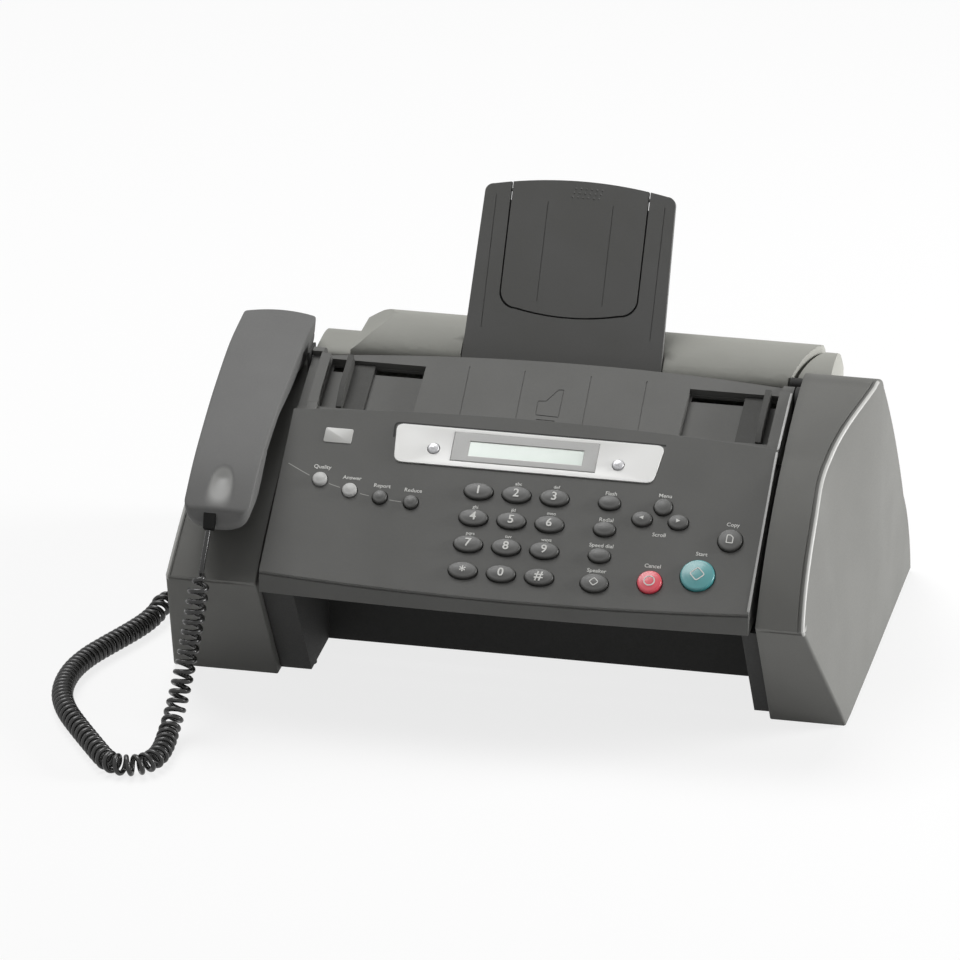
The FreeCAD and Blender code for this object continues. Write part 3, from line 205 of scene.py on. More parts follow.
# Sprayed and lacquered trim has an even sheen with almost no grain.
BEZEL_PAINT = Finish("sprayed_silver_white_trim", "#ececea", "#e6e6e3", 0.34, relief_mm=0.008, grain_mm=0.6)
FRAME_PAINT = Finish("sprayed_silver_grey_trim", "#a6a6a4", "#a0a09e", 0.32, relief_mm=0.008, grain_mm=0.6)
BLANK_PLATE = Finish("sprayed_blank_plate", "#b9b9b6", "#b1b1ae", 0.36, relief_mm=0.01)
# Metal flakes in the lacquer of the two small buttons give a part of a metal's sharp highlight.
CHROME_KEY = Finish("sprayed_button_silver", "#c4c4c6", "#bcbcbe", 0.3, metallic=0.25, relief_mm=0.004)
# Clear acrylic lies over the pale green layer of a display: smooth, glossy, with slow clouds of colour.
LCD_GLASS = Finish("acrylic_window_over_lcd", "#d9e4dc", "#d1ddd4", 0.16, ior=1.49, relief_mm=0.004,
                   patch_mm=22.0, coat=0.5)
# Pad printing lays down a thin matt film that hides the grain under it.
PRINT_INK = Finish("pad_printed_pale_ink", "#d6d6d2", "#cdcdc9", 0.55, relief_mm=0.006)
LINE_INK = Finish("pad_printed_grey_ink", "#8f8f8b", "#898985", 0.55, relief_mm=0.006)
# Soft PVC leaves the die smooth and oily, so each curl carries a small bright line.
CORD_PVC = Finish("extruded_pvc_cord_black", "#1b1b1a", "#171716", 0.27, ior=1.53, relief_mm=0.01,
                  grain_mm=1.6)
# Smoked polycarbonate swallows most light and shows only a weak gloss.
PLUG_PC = Finish("moulded_polycarbonate_smoke", "#121211", "#0f0f0e", 0.5, ior=1.58, relief_mm=0.004,
                 sheen_level=0.1)
# Rubber pressed in a blasted mould is dull and coarse.
RUBBER = Finish("moulded_rubber_black", "#262625", "#222221", 0.72, ior=1.52, relief_mm=0.05, grain_mm=1.2)
# Turning leaves fine rings that draw a highlight out along the bar.
STEEL = Finish("turned_bright_steel", "#b9b9ba", "#aeaeb0", 0.27, metallic=1.0, ior=1.5,
               grain=Grain.BRUSHED, relief_mm=0.01)
# Solder resist over woven glass is glossy, with the weave as a faint ripple.
BOARD_FR4 = Finish("glass_epoxy_board_green", "#2f5a3c", "#274f34", 0.42, grain=Grain.ETCHED, grain_mm=2.4,
                   relief_mm=0.05)
# Polypropylene and acetal come out of the mould waxy: a soft broad gloss with little grain.
CARTRIDGE_PP = Finish("moulded_polypropylene_black", "#222222", "#1e1e1e", 0.44, ior=1.49)
GEAR_POM = Finish("moulded_acetal_white", "#dcdad2", "#d5d3cb", 0.36, ior=1.48, relief_mm=0.01)


def full_turn(count: int) -> Array:
    """Angles once round a circle, evenly spaced, with the start not repeated."""
    return np.linspace(0, 2 * math.pi, count, endpoint=False)


def unit(rows: Array) -> Array:
    """Rows scaled to a length of one."""
    return rows / np.linalg.norm(rows, axis=1)[:, None]


def linked(name: str, data: bpy.types.ID) -> Object:
    """Make an object and put it in the scene.

    Args:
        name: Object name.
        data: Mesh, curve, lamp or camera that it shows.

    Returns:
        The new object.
    """
    made = bpy.data.objects.new(name, data)
    bpy.context.scene.collection.objects.link(made)
    return made


def grid_cells(rows: int, columns: int, around: bool) -> Array:
    """Corner numbers of a grid's cells.

    Args:
        rows: Rows of points.
        columns: Points in a row.
        around: Whether the last column joins the first.

    Returns:
        Four corners a cell, one row each.
    """
    number = np.arange(rows * columns).reshape(rows, columns)
    if around:
        number = np.hstack([number, number[:, :1]])
    return np.stack([number[:-1, :-1], number[1:, :-1], number[1:, 1:], number[:-1, 1:]], -1).reshape(-1, 4)


def surface(name: str, points: Array, faces: Array, sharp: float = 35.0) -> Object:
    """Make an object at the origin from points in millimetres, with doubles merged and faces outwards.

    Args:
        name: Piece name.
        points: Corner places, one row each.
        faces: Corner numbers, one row a face.
        sharp: Angle in degrees above which an edge stays crisp.

    Returns:
        The new object.
    """
    mesh = bpy.data.meshes.new(name)
    mesh.from_pydata((points * MM).tolist(), [], faces.tolist())
    return finished(name, mesh, sharp)


def finished(name: str, mesh: bpy.types.Mesh, sharp: float = 35.0) -> Object:
    """Merge a mesh's doubles, turn its faces outwards, shade it and link it.

    Args:
        name: Piece name.
        mesh: Mesh in metres in the row frame.
        sharp: Angle in degrees above which an edge stays crisp.

    Returns:
        The new object.
    """
    work = bmesh.new()
    work.from_mesh(mesh)
    bmesh.ops.remove_doubles(work, verts=work.verts, dist=MERGE)
    bmesh.ops.dissolve_degenerate(work, edges=work.edges, dist=MERGE / 2)
    bmesh.ops.recalc_face_normals(work, faces=work.faces)
    work.to_mesh(mesh)
    work.free()
    mesh.shade_smooth()
    mesh.set_sharp_from_angle(angle=math.radians(sharp))
    return linked(name, mesh)


def sheet(name: str, grid: Array, around: bool = False, sharp: float = 35.0) -> Object:
    """Surface through a grid of points, each cell one quad.

    Args:
        name: Piece name.
        grid: Points in millimetres as (rows, columns, 3).
        around: Whether the last column joins the first.
        sharp: Angle in degrees above which an edge stays crisp.

    Returns:
        The new object.
    """
    return surface(name, grid.reshape(-1, 3), grid_cells(*grid.shape[:2], around), sharp)


def joined(name: str, meshes: list[bpy.types.Mesh]) -> Object:
    """Put several meshes into one object and drop the originals.

    Args:
        name: Piece name.
        meshes: Meshes in metres in the row frame.

    Returns:
        The new object.
    """
    work = bmesh.new()
    for mesh in meshes:
        work.from_mesh(mesh)
    whole = bpy.data.meshes.new(name)
    work.to_mesh(whole)
    work.free()
    for mesh in meshes:
        bpy.data.meshes.remove(mesh)
    return finished(name, whole)


def loose_mesh(piece: Object) -> bpy.types.Mesh:
    """Take the mesh out of an object and delete the object.

    Args:
        piece: Object to empty.

    Returns:
        Its mesh.
    """
    mesh = piece.data
    bpy.data.objects.remove(piece)
    return mesh


def baked(piece: Object) -> Object:
    """Turn a piece's modifiers into plain mesh.

    Args:
        piece: Object with modifiers.

    Returns:
        The same object.
    """
    mesh = bpy.data.meshes.new_from_object(piece.evaluated_get(bpy.context.evaluated_depsgraph_get()))
    piece.modifiers.clear()
    piece.data = mesh
    return piece


def carved(piece: Object, cutters: list[Object]) -> Object:
    """Take solids away from a piece, then delete the solids.

    Args:
        piece: Closed object to cut.
        cutters: Closed objects to take away.

    Returns:
        The same piece as plain mesh.
    """
    for cutter in cutters:
        groove = piece.modifiers.new("groove", "BOOLEAN")
        groove.operation = "DIFFERENCE"
        groove.solver = "EXACT"
        groove.object = cutter
    baked(piece)
    for cutter in cutters:
        bpy.data.objects.remove(cutter)
    return piece


def drum(name: str, axis: int, centre: tuple[float, float], ends: tuple[float, float], radius: float,
         edge: float = 0.0) -> Object:
    """Closed round drum along one axis: circles of growing, full and shrinking radius.

    Args:
        name: Name of the drum.
        axis: 0 for X, 2 for Z.
        centre: Place across the axis, in the order of the two other axes.
        ends: Where it starts and stops along the axis.
        radius: Radius in millimetres.
        edge: Chamfer at the start.

    Returns:
        The drum.
    """
    turn = full_turn(40)
    size = np.array([0.0, radius - edge, radius, radius, 0.0])[:, None]
    along = np.array([ends[0], ends[0], ends[0] + edge, ends[1], ends[1]])[:, None] * np.ones_like(turn)
    across = [centre[0] + size * np.cos(turn), centre[1] + size * np.sin(turn)]
    across.insert(axis, along)
    return sheet(name, np.stack(across, -1), True)


def softened(node: str, radius: float, cutters: list[Object] | None = None) -> Object:
    """Merged copy of a CAD node with grooves cut and its edges rounded as a mould rounds them.

    Args:
        node: CAD node to copy and stand for.
        radius: Edge radius in millimetres.
        cutters: Solids to take away first.

    Returns:
        The new object, which replaces the node.
    """
    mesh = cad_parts[node].data.copy()
    mesh.materials.clear()
    work = bmesh.new()
    work.from_mesh(mesh)
    bmesh.ops.remove_doubles(work, verts=work.verts, dist=MERGE)
    bmesh.ops.dissolve_limit(work, angle_limit=math.radians(FLAT_BELOW), verts=work.verts, edges=work.edges)
    work.to_mesh(mesh)
    work.free()
    piece = carved(linked(f"{node}_moulding", mesh), cutters or [])
    edge = piece.modifiers.new("edge", "BEVEL")
    edge.width = radius * MM
    edge.segments = 3
    edge.limit_method = "ANGLE"
    edge.angle_limit = math.radians(ROUND_ABOVE)
    even_shading(piece)
    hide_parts(node)
    return piece


def even_shading(piece: Object) -> Object:
    """Shade large flat faces flat and let only the rounded edges turn, by weighting normals with face area.

    Args:
        piece: Object, with or without modifiers.

    Returns:
        The same object as plain mesh.
    """
    piece.data.shade_smooth()
    even = piece.modifiers.new("even", "WEIGHTED_NORMAL")
    even.mode = "FACE_AREA"
    even.weight = 100
    even.thresh = 0.01
    return baked(piece)


def corner_places(piece: Object) -> Array:
    """Read where a piece's corners lie.

    Args:
        piece: Mesh object.

    Returns:
        Places in millimetres, one row each.
    """
    places = np.empty(len(piece.data.vertices) * 3, np.float32)
    piece.data.vertices.foreach_get("co", places)
    return places.reshape(-1, 3) / MM


def paint_highlight(piece: Object, highlight_share: Array) -> Object:
    """Write how much painted highlight each corner takes, which the finish reads.

    Args:
        piece: Piece to mark.
        highlight_share: One share a corner, from 0 to 1.

    Returns:
        The same piece.
    """
    painted_highlight = piece.data.attributes.new("painted_highlight", "FLOAT", "POINT")
    painted_highlight.data.foreach_set("value", np.asarray(highlight_share, np.float32))
    return piece


def place_piece(piece: Object, body: str, finish: Finish, slot: str, *nodes: str) -> Object:
    """Give a piece its finish, its body and the nodes that it stands for, and log it.

    Args:
        piece: New piece.
        body: CAD body that it rides on.
        finish: Its finish.
        slot: The record's material slot; not used.
        nodes: CAD nodes that it replaces.

    Returns:
        The same piece.
    """
    piece.data.materials.clear()
    piece.data.materials.append(finish.material())
    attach(piece, body)
    if nodes:
        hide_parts(*nodes)
    LOG.info("%s on %s, %d faces", piece.name, body, len(piece.data.polygons))
    return piece


def corner_arcs(start: Array, corner: Array, end: Array, steps: int) -> Array:
    """Parabolic arcs that turn corners, (1-t)^2 A + 2t(1-t) P + t^2 B.

    Args:
        start: Where the arcs begin, one row each.
        corner: The corners that they cut.
        end: Where they stop.
        steps: Points on each arc.

    Returns:
        Points as (arcs, steps, dimensions).
    """
    t = np.linspace(0, 1, steps)[None, :, None]
    return (1 - t) ** 2 * start[:, None] + 2 * t * (1 - t) * corner[:, None] + t ** 2 * end[:, None]


def rounded_path(corners: Array, reach: Array | float, steps: int = 7, closed: bool = False) -> Array:
    """Path through straight runs whose corners are parabolic arcs.

    Args:
        corners: Corner points as rows.
        reach: How far each arc reaches along its runs, one value or one a corner.
        steps: Points on each arc.
        closed: Whether the last corner runs on to the first.

    Returns:
        Points along the path.
    """
    before, after = np.roll(corners, 1, 0), np.roll(corners, -1, 0)
    into, out = corners - before, after - corners
    room = np.minimum(np.linalg.norm(into, axis=1), np.linalg.norm(out, axis=1)) * 0.48
    reach = np.minimum(np.broadcast_to(reach, len(corners)), room)[:, None]
    arcs = corner_arcs(corners - unit(into) * reach, corners, corners + unit(out) * reach, steps)
    if closed:
        return arcs.reshape(-1, corners.shape[1])
    return np.vstack([corners[:1], arcs[1:-1].reshape(-1, corners.shape[1]), corners[-1:]])


def step_between(value: Array, low: float, high: float) -> Array:
    """Smooth step, 3t^2 - 2t^3, from 0 at low to 1 at high."""
    t = np.clip((value - low) / (high - low), 0, 1)
    return t * t * (3 - 2 * t)


def round_off(distance: Array, radius: float) -> Array:
    """How far a round end draws back at a distance from its tip, r - sqrt(r^2 - (r - d)^2).

    Args:
        distance: Distances from the tip.
        radius: Radius of the end.

    Returns:
        One value a distance, 0 from the radius on.
    """
    left = np.clip(radius - distance, 0, None)
    return radius - np.sqrt(np.maximum(radius ** 2 - left ** 2, 0))


def carried_sides(along: Array, first: Array) -> Array:
    """Side directions carried along a path, each the last one made square to the new heading.

    Between level frames each step is a 2 x 2 matrix, and the running products come by doubling.

    Args:
        along: Unit headings as rows, none of them upright.
        first: Direction to start from.

    Returns:
        Unit side directions as rows.
    """
    level = unit(np.cross(along, (0.0, 0.0, 1.0)))
    axes = np.stack([level, np.cross(along, level)], 1)
    running = np.concatenate([np.eye(2)[None], np.einsum("kia,kja->kij", axes[1:], axes[:-1])])
    stride = 1
    while stride < len(running):
        running[stride:] = running[stride:] @ running[:-stride]
        stride *= 2
    return unit(np.einsum("kij,j,kia->ka", running, axes[0] @ first, axes))


def smooth_line(at: Array, known: Array, sigma: float) -> Array:
    """Straight runs between known points, averaged with a bell curve so that the corners turn softly.

    Args:
        at: Places to read.
        known: Rows of place and value, rising in place.
        sigma: Spread of the bell curve.

    Returns:
        Values at the places.
    """
    offsets = np.linspace(-2.5, 2.5, 21) * sigma
    weight = np.exp(-0.5 * (offsets / sigma) ** 2)
    slope_low = (known[1, 1] - known[0, 1]) / (known[1, 0] - known[0, 0])
    slope_high = (known[-1, 1] - known[-2, 1]) / (known[-1, 0] - known[-2, 0])
    spread = at[:, None] + offsets[None, :]
    value = np.interp(spread, known[:, 0], known[:, 1])
    value += np.minimum(spread - known[0, 0], 0) * slope_low
    value += np.maximum(spread - known[-1, 0], 0) * slope_high
    return (value * weight).sum(1) / weight.sum()


def box_corners(left: float, right: float, low: float, high: float) -> Array:
    """Corners of an upright box in order, from the lower left."""
    return np.array([(left, low), (right, low), (right, high), (left, high)])


@dataclass(frozen=True)
class Slope:
    """A frame tilted about X, with u along X, v up the slope and w out of it."""

    origin: tuple[float, float, float]
    tilt: float

    def place(self, u: Array, v: Array, w: Array) -> Array:
        """Turn slope coordinates into the row frame.

        Args:
            u: Along X.
            v: Up the slope.
            w: Out of the slope.

        Returns:
            Points as (..., 3) in millimetres.
        """
        u, v, w = np.broadcast_arrays(np.asarray(u, float), np.asarray(v, float), np.asarray(w, float))
        c, s = math.cos(math.radians(self.tilt)), math.sin(math.radians(self.tilt))
        x, y, z = self.origin
        return np.stack([x + u, y + v * c - w * s, z + v * s + w * c], -1)

    def matrix(self, u: float, v: float, w: float) -> Matrix:
        """Placing matrix in metres for a flat mesh drawn at the origin."""
        spot = Vector(self.place(u, v, w).tolist()) * MM
        return Matrix.Translation(spot) @ Matrix.Rotation(math.radians(self.tilt), 4, "X")

    def plate(self, name: str, outline: Array, low: float, high: float, round_edge: float = 0.0) -> Object:
        """Flat plate from a closed outline, its upper edge rounded by an inset ring.

        Args:
            name: Piece name.
            outline: Points (u, v) in order.
            low: Underside height.
            high: Upper height.
            round_edge: Edge radius in millimetres.

        Returns:
            The new object.
        """
        centre = outline.mean(0)
        span = np.linalg.norm(outline - centre, axis=1).max()
        turn = np.linspace(0, math.pi / 2, 4 if round_edge else 1)
        inset = np.r_[0.0, round_edge * (1 - np.cos(turn))] / span
        height = np.r_[low, high - round_edge * (1 - np.sin(turn))]
        rings = centre + (outline - centre)[None] * (1 - inset)[:, None, None]
        points = self.place(rings[..., 0], rings[..., 1], height[:, None])
        rows, columns = points.shape[:2]
        cells = grid_cells(rows, columns, True)[:, [0, 3, 2, 1]]
        mesh = bpy.data.meshes.new(name)
        ends = [list(range(columns))[::-1], list(range((rows - 1) * columns, rows * columns))]
        mesh.from_pydata((points.reshape(-1, 3) * MM).tolist(), [], cells.tolist() + ends)
        return finished(name, mesh, 40)

    def bead(self, name: str, u: float, low: float, high: float, top: float) -> Object:
        """Thin round bead up the slope, half sunk in what carries it.

        Args:
            name: Name of the bead.
            u: Its middle.
            low: Where it starts up the slope.
            high: Where it stops.
            top: Height of the face that it sits on.

        Returns:
            The bead.
        """
        half, sunk, proud, edge = 0.6, 0.5, 0.28, 0.5
        strip = box_corners(u - half, u + half, low, high)
        return self.plate(name, rounded_path(strip, edge, 4, True), top - sunk, top + proud, edge)

    def stroke(self, name: str, line: Array, width: float, low: float, high: float,
               closed: bool = False) -> Object:
        """Printed or moulded line: a thin band of even width that follows a path.

        Args:
            name: Piece name.
            line: Points (u, v) in order.
            width: Band width in millimetres.
            low: Underside height.
            high: Upper height.
            closed: Whether the path returns to its start.

        Returns:
            The new object.
        """
        if closed:
            ahead, behind = np.roll(line, -1, 0), np.roll(line, 1, 0)
        else:
            ahead, behind = np.vstack([line[1:], line[-1:]]), np.vstack([line[:1], line[:-1]])
        along = unit(ahead - behind)
        side = np.stack([-along[:, 1], along[:, 0]], -1) * width / 2
        shift, height = np.array([-1, -1, 1, 1]), np.array([low, high, high, low])
        ring = line[:, None] + side[:, None] * shift[None, :, None]
        points = self.place(ring[..., 0], ring[..., 1], height[None])
        if closed:
            points = np.concatenate([points, points[:1]])
            return sheet(name, points, True, 40)
        ends = points.mean(1, keepdims=True) * np.ones((1, 4, 1))
        return sheet(name, np.concatenate([ends[:1], points, ends[-1:]]), True, 40)

    def lettering(self, words: str, size: float, u: float, v: float, low: float, high: float,
                  weight: float = 0.0) -> bpy.types.Mesh:
        """Generic characters as a thin raised mesh.

        Args:
            words: Characters to draw.
            size: Letter size in millimetres.
            u: Middle along X.
            v: Middle up the slope.
            low: Underside height.
            high: Upper height.
            weight: How much bolder the strokes are, in millimetres.

        Returns:
            The mesh in metres in the row frame.
        """
        curve = bpy.data.curves.new("letters", "FONT")
        curve.body, curve.size = words, size * MM
        curve.align_x, curve.align_y = "CENTER", "CENTER"
        curve.extrude, curve.offset = (high - low) / 2 * MM, weight * MM
        curve.resolution_u = 3
        drawn = linked("letters", curve)
        mesh = bpy.data.meshes.new_from_object(drawn.evaluated_get(bpy.context.evaluated_depsgraph_get()))
        mesh.materials.clear()
        bpy.data.objects.remove(drawn)
        mesh.transform(self.matrix(u, v, (low + high) / 2))
        return mesh


PANEL = Slope((5.0, -86.0, 106.0), 35.2)
TRAY = Slope((0.0, -38.0, 133.2), 22.0)
SUPPORT = Slope((9.0, 18.0, 148.0), 56.8)


def arc_through(first: tuple, middle: tuple, last: tuple, steps: int) -> Array:
    """Circle arc through three points, from the centre equidistant to all of them.

    Args:
        first: Start (y, z).
        middle: A point on the way.
        last: End.
        steps: Number of points, the end left out.

    Returns:
        Points along the arc.
    """
    a, b, c = (np.asarray(p, float) for p in (first, middle, last))
    aa, bb, cc = a @ a, b @ b, c @ c
    twice = 2 * (a[0] * (b[1] - c[1]) + b[0] * (c[1] - a[1]) + c[0] * (a[1] - b[1]))
    centre = np.array([aa * (b[1] - c[1]) + bb * (c[1] - a[1]) + cc * (a[1] - b[1]),
                       aa * (c[0] - b[0]) + bb * (a[0] - c[0]) + cc * (b[0] - a[0])]) / twice
    rays = np.stack([a, b, c]) - centre
    angles = np.unwrap(np.arctan2(rays[:, 1], rays[:, 0]))
    turn = np.linspace(angles[0], angles[2], steps + 1)[:-1]
    return centre + np.linalg.norm(a - centre) * np.stack([np.cos(turn), np.sin(turn)], -1)


@dataclass
class EndHousing:
    """Closed end of the case: a side outline carried out to a leaning outer face with a rounded edge."""

    # Stations of the side outline: the parting groove, the inset stretch above it, and the rim that carries
    # a painted highlight.
    GROOVE, ABOVE, RIM = slice(11, 13), slice(13, 63), slice(12, 64)
    # Inset and reach of the rings round the inner edge.
    INNER_EDGE = ((0.9, 0.0), (0.25, 0.25), (0.0, 0.9))
    # Where the rings of the top band lie between the inner edge and the parting seam.
    BAND = (0.12, 0.3, 0.5, 0.7, 0.86)
    # Distance from the outer edge, and whether the parting seam dips there.
    SEAM = ((1.9, 0), (1.5, 1), (1.0, 1), (0.6, 0), (0.3, 0))
    # Distances of the groove's stations below the knee.
    KNEE_GAPS = np.array([3.3, 2.8, 2.3, 1.8])

    name: str
    node: str
    inner: float
    side: int
    outline: dict[str, tuple[float, float]]
    centre: tuple[float, float] = (8.0, 58.0)
    foot: tuple[float, float] = (-71.0, 0.8)
    half_width: float = 178.0
    front_draw: float = 5.5
    front_lean: float = 0.136
    lean_end: float = 25.0
    edge: float = 1.7
    seam: float = 0.6

    def side_line(self) -> tuple[Array, Array, Array]:
        """Closed side outline with its outward normals and where the parting groove and the inset run.

        Returns:
            Points, normals, and two masks: the groove across the knee, and the stretch above it.
        """
        p = self.outline
        foot, knee = np.array(self.foot), np.array(p["knee"])
        length = np.linalg.norm(knee - foot)
        share = np.r_[np.linspace(0, 0.95, 10), 1 - self.KNEE_GAPS / length]
        rise = foot + (knee - foot) * share[:, None]
        arcs = [arc_through(p[a], p[b], p[c], n) for a, b, c, n in (
            ("knee", "belly", "brow", 26), ("brow", "crown", "peak", 20), ("peak", "tip", "turn", 12),
            ("turn", "back", "hip", 24), ("hip", "heel", "seat", 14))]
        heel = np.array([p["seat"], (p["seat"][0] + 1, self.foot[1])])
        floor = heel[1] + (foot - heel[1]) * np.linspace(0, 1, 16)[1:-1, None]
        line = np.vstack([rise, *arcs, heel, floor])
        along = np.roll(line, -1, 0) - np.roll(line, 1, 0)
        normal = unit(np.stack([-along[:, 1], along[:, 0]], -1))
        masks = np.zeros((2, len(line)))
        masks[0, self.GROOVE] = masks[1, self.ABOVE] = 1
        return line, normal, masks

    def reach(self, y: Array, z: Array) -> Array:
        """Distance of the outer face from the middle, drawn in at the front and leaning in above."""
        draw = self.front_draw * step_between(-y, 60, 130)
        return self.half_width - draw - self.front_lean * step_between(self.lean_end - y, 0, 90) * z

    def build(self) -> Object:
        """Rings from the inner wall, over the top band, round the edge and in over the outer face.

        Returns:
            The housing.
        """
        line, normal, (groove, above) = self.side_line()
        middle, inner = np.array(self.centre), np.full(len(line), abs(self.inner))
        rings = [(middle + (line - middle) * share, inner) for share in (0.0, 0.5, 0.9)]
        rings += [(line - normal * inset, inner + out) for inset, out in self.INNER_EDGE]
        start = rings[-1][1]
        stop = self.reach(line[:, 0], line[:, 1]) - self.edge
        sunk = normal * groove[:, None] * self.seam
        rings += [(line - sunk, start + (stop - self.SEAM[0][0] - start) * share) for share in self.BAND]
        for back, depth in self.SEAM:
            dip = np.maximum(groove, above * depth)[:, None] * normal * self.seam
            rings.append((line - dip, stop - back))
        for turn in np.linspace(0, math.pi / 2, 8):
            at = line - normal * self.edge * (1 - math.cos(turn))
            rings.append((at, self.reach(at[:, 0], at[:, 1]) - self.edge * (1 - math.sin(turn))))
        rim = line - normal * self.edge
        for share in np.r_[np.linspace(0.97, 0.1, 15), 0.0]:
            at = middle + (rim - middle) * share
            rings.append((at, self.reach(at[:, 0], at[:, 1])))
        grid = np.stack([np.column_stack([self.side * x, at]) for at, x in rings])
        piece = sheet(self.name, grid, True, 45)
        # Painted highlight on the rounded outer edge: corners there are painted paler and glossier.
        spots = corner_places(piece)
        below = self.reach(spots[:, 1], spots[:, 2]) - np.abs(spots[:, 0])
        gap = np.min(np.linalg.norm(spots[:, None, 1:] - line[None, self.RIM], axis=2), axis=1)
        paint_highlight(piece, (below < 0.8 * self.edge) & (gap < 0.75 * self.edge) & (gap > 0.01))
        return place_piece(piece, "chassis", CASE_ABS, "grey_case", self.node)


class Icon(Enum):
    """What is printed on a key."""

    NONE = ""
    DIAMOND = "diamond"
    RING = "ring"
    PAGE = "page"
    LEFT = "left"
    RIGHT = "right"


@dataclass(frozen=True)
class Key:
    """One key: its place on the panel, its size, its finish, and what is printed on it and beside it."""

    # Profile from the flange's underside to the crown's rim: inset from the wall, and height.
    INSET = np.array([-1, -1, -1, 0, 0, 0.06, 0.28, 0.62, 1.05, 1.5])
    HEIGHT = np.array([-4.55, -4.55, -3.35, -3.35, 1.05, 1.42, 1.72, 1.9, 1.98, 2.0])
    # Rings of the crown, as shares of its radius.
    CROWN = np.array([0.8, 0.6, 0.4, 0.2, 0.0])

    node: str
    u: float
    v: float
    long_side: float
    short_side: float
    finish: Finish = KEY_ABS
    slot: str = "key_dark"
    glyph: str = ""
    icon: Icon = Icon.NONE
    label: str = ""
    label_rise: float = 6.7
    crown: float = 0.35

    def cap(self) -> Object:
        """Domed cap: an oval profile of wall, rounded edge and low crown, over a retaining flange.

        Returns:
            The cap, which replaces the CAD key.
        """
        share = np.r_[0.0, np.ones(len(self.INSET) - 1), self.CROWN]
        inset = np.r_[self.INSET, np.full(len(self.CROWN), self.INSET[-1])]
        height = np.r_[self.HEIGHT, self.HEIGHT[-1] + self.crown * (1 - self.CROWN ** 2)]
        turn = full_turn(48)
        a, b = self.long_side / 2 - inset, self.short_side / 2 - inset
        u = self.u + (a * share)[:, None] * np.cos(turn)
        v = self.v + (b * share)[:, None] * np.sin(turn)
        piece = sheet(f"{self.node}_cap", PANEL.place(u, v, height[:, None]), True, 50)
        return place_piece(piece, self.node, self.finish, self.slot, self.node)

    def mark(self) -> Object | None:
        """Printed digit or icon on the cap.

        Returns:
            The mark, or nothing for a bare key.
        """
        proud = 0.08
        low, high = self.HEIGHT[-3], self.HEIGHT[-1] + self.crown + proud
        name = f"{self.node}_mark"
        if self.glyph:
            size = 6.6 if self.glyph.isdigit() else 7.4
            drop = -1.3 if self.glyph == "*" else 0.0
            piece = joined(name, [PANEL.lettering(self.glyph, size, self.u, self.v + drop, low, high, 0.1)])
        elif self.icon is Icon.NONE:
            return None
        else:
            piece = self.draw_icon(name, low, high)
        return place_piece(piece, self.node, PRINT_INK, self.slot)

    def draw_icon(self, name: str, low: float, high: float) -> Object:
        """Outline icon: a diamond, ring, page or arrow.

        Args:
            name: Piece name.
            low: Underside height.
            high: Upper height.

        Returns:
            The icon's band or plate.
        """
        size = self.short_side / 2 * 0.42
        spot = np.array([self.u, self.v])
        if self.icon in (Icon.LEFT, Icon.RIGHT):
            way = 1 if self.icon is Icon.RIGHT else -1
            corners = np.array([(-0.5 * way, -0.6), (0.7 * way, 0), (-0.5 * way, 0.6)]) * size
            return PANEL.plate(name, spot + corners[::way], low, high)
        if self.icon is Icon.RING:
            turn = full_turn(36)
            line, width = size * np.stack([np.cos(turn), np.sin(turn)], -1), 0.6
        elif self.icon is Icon.DIAMOND:
            corners = np.array([(1, 0), (0, 1), (-1, 0), (0, -1)]) * size * 1.05
            line, width = rounded_path(corners, size * 0.3, 4, True), 0.55
        else:
            corners = np.array([(-0.6, -0.85), (0.6, -0.85), (0.6, 0.35), (0.1, 0.85), (-0.6, 0.85)]) * size
            line, width = rounded_path(corners, size * 0.12, 3, True), 0.5
        return PANEL.stroke(name, spot + line, width, low, high, True)


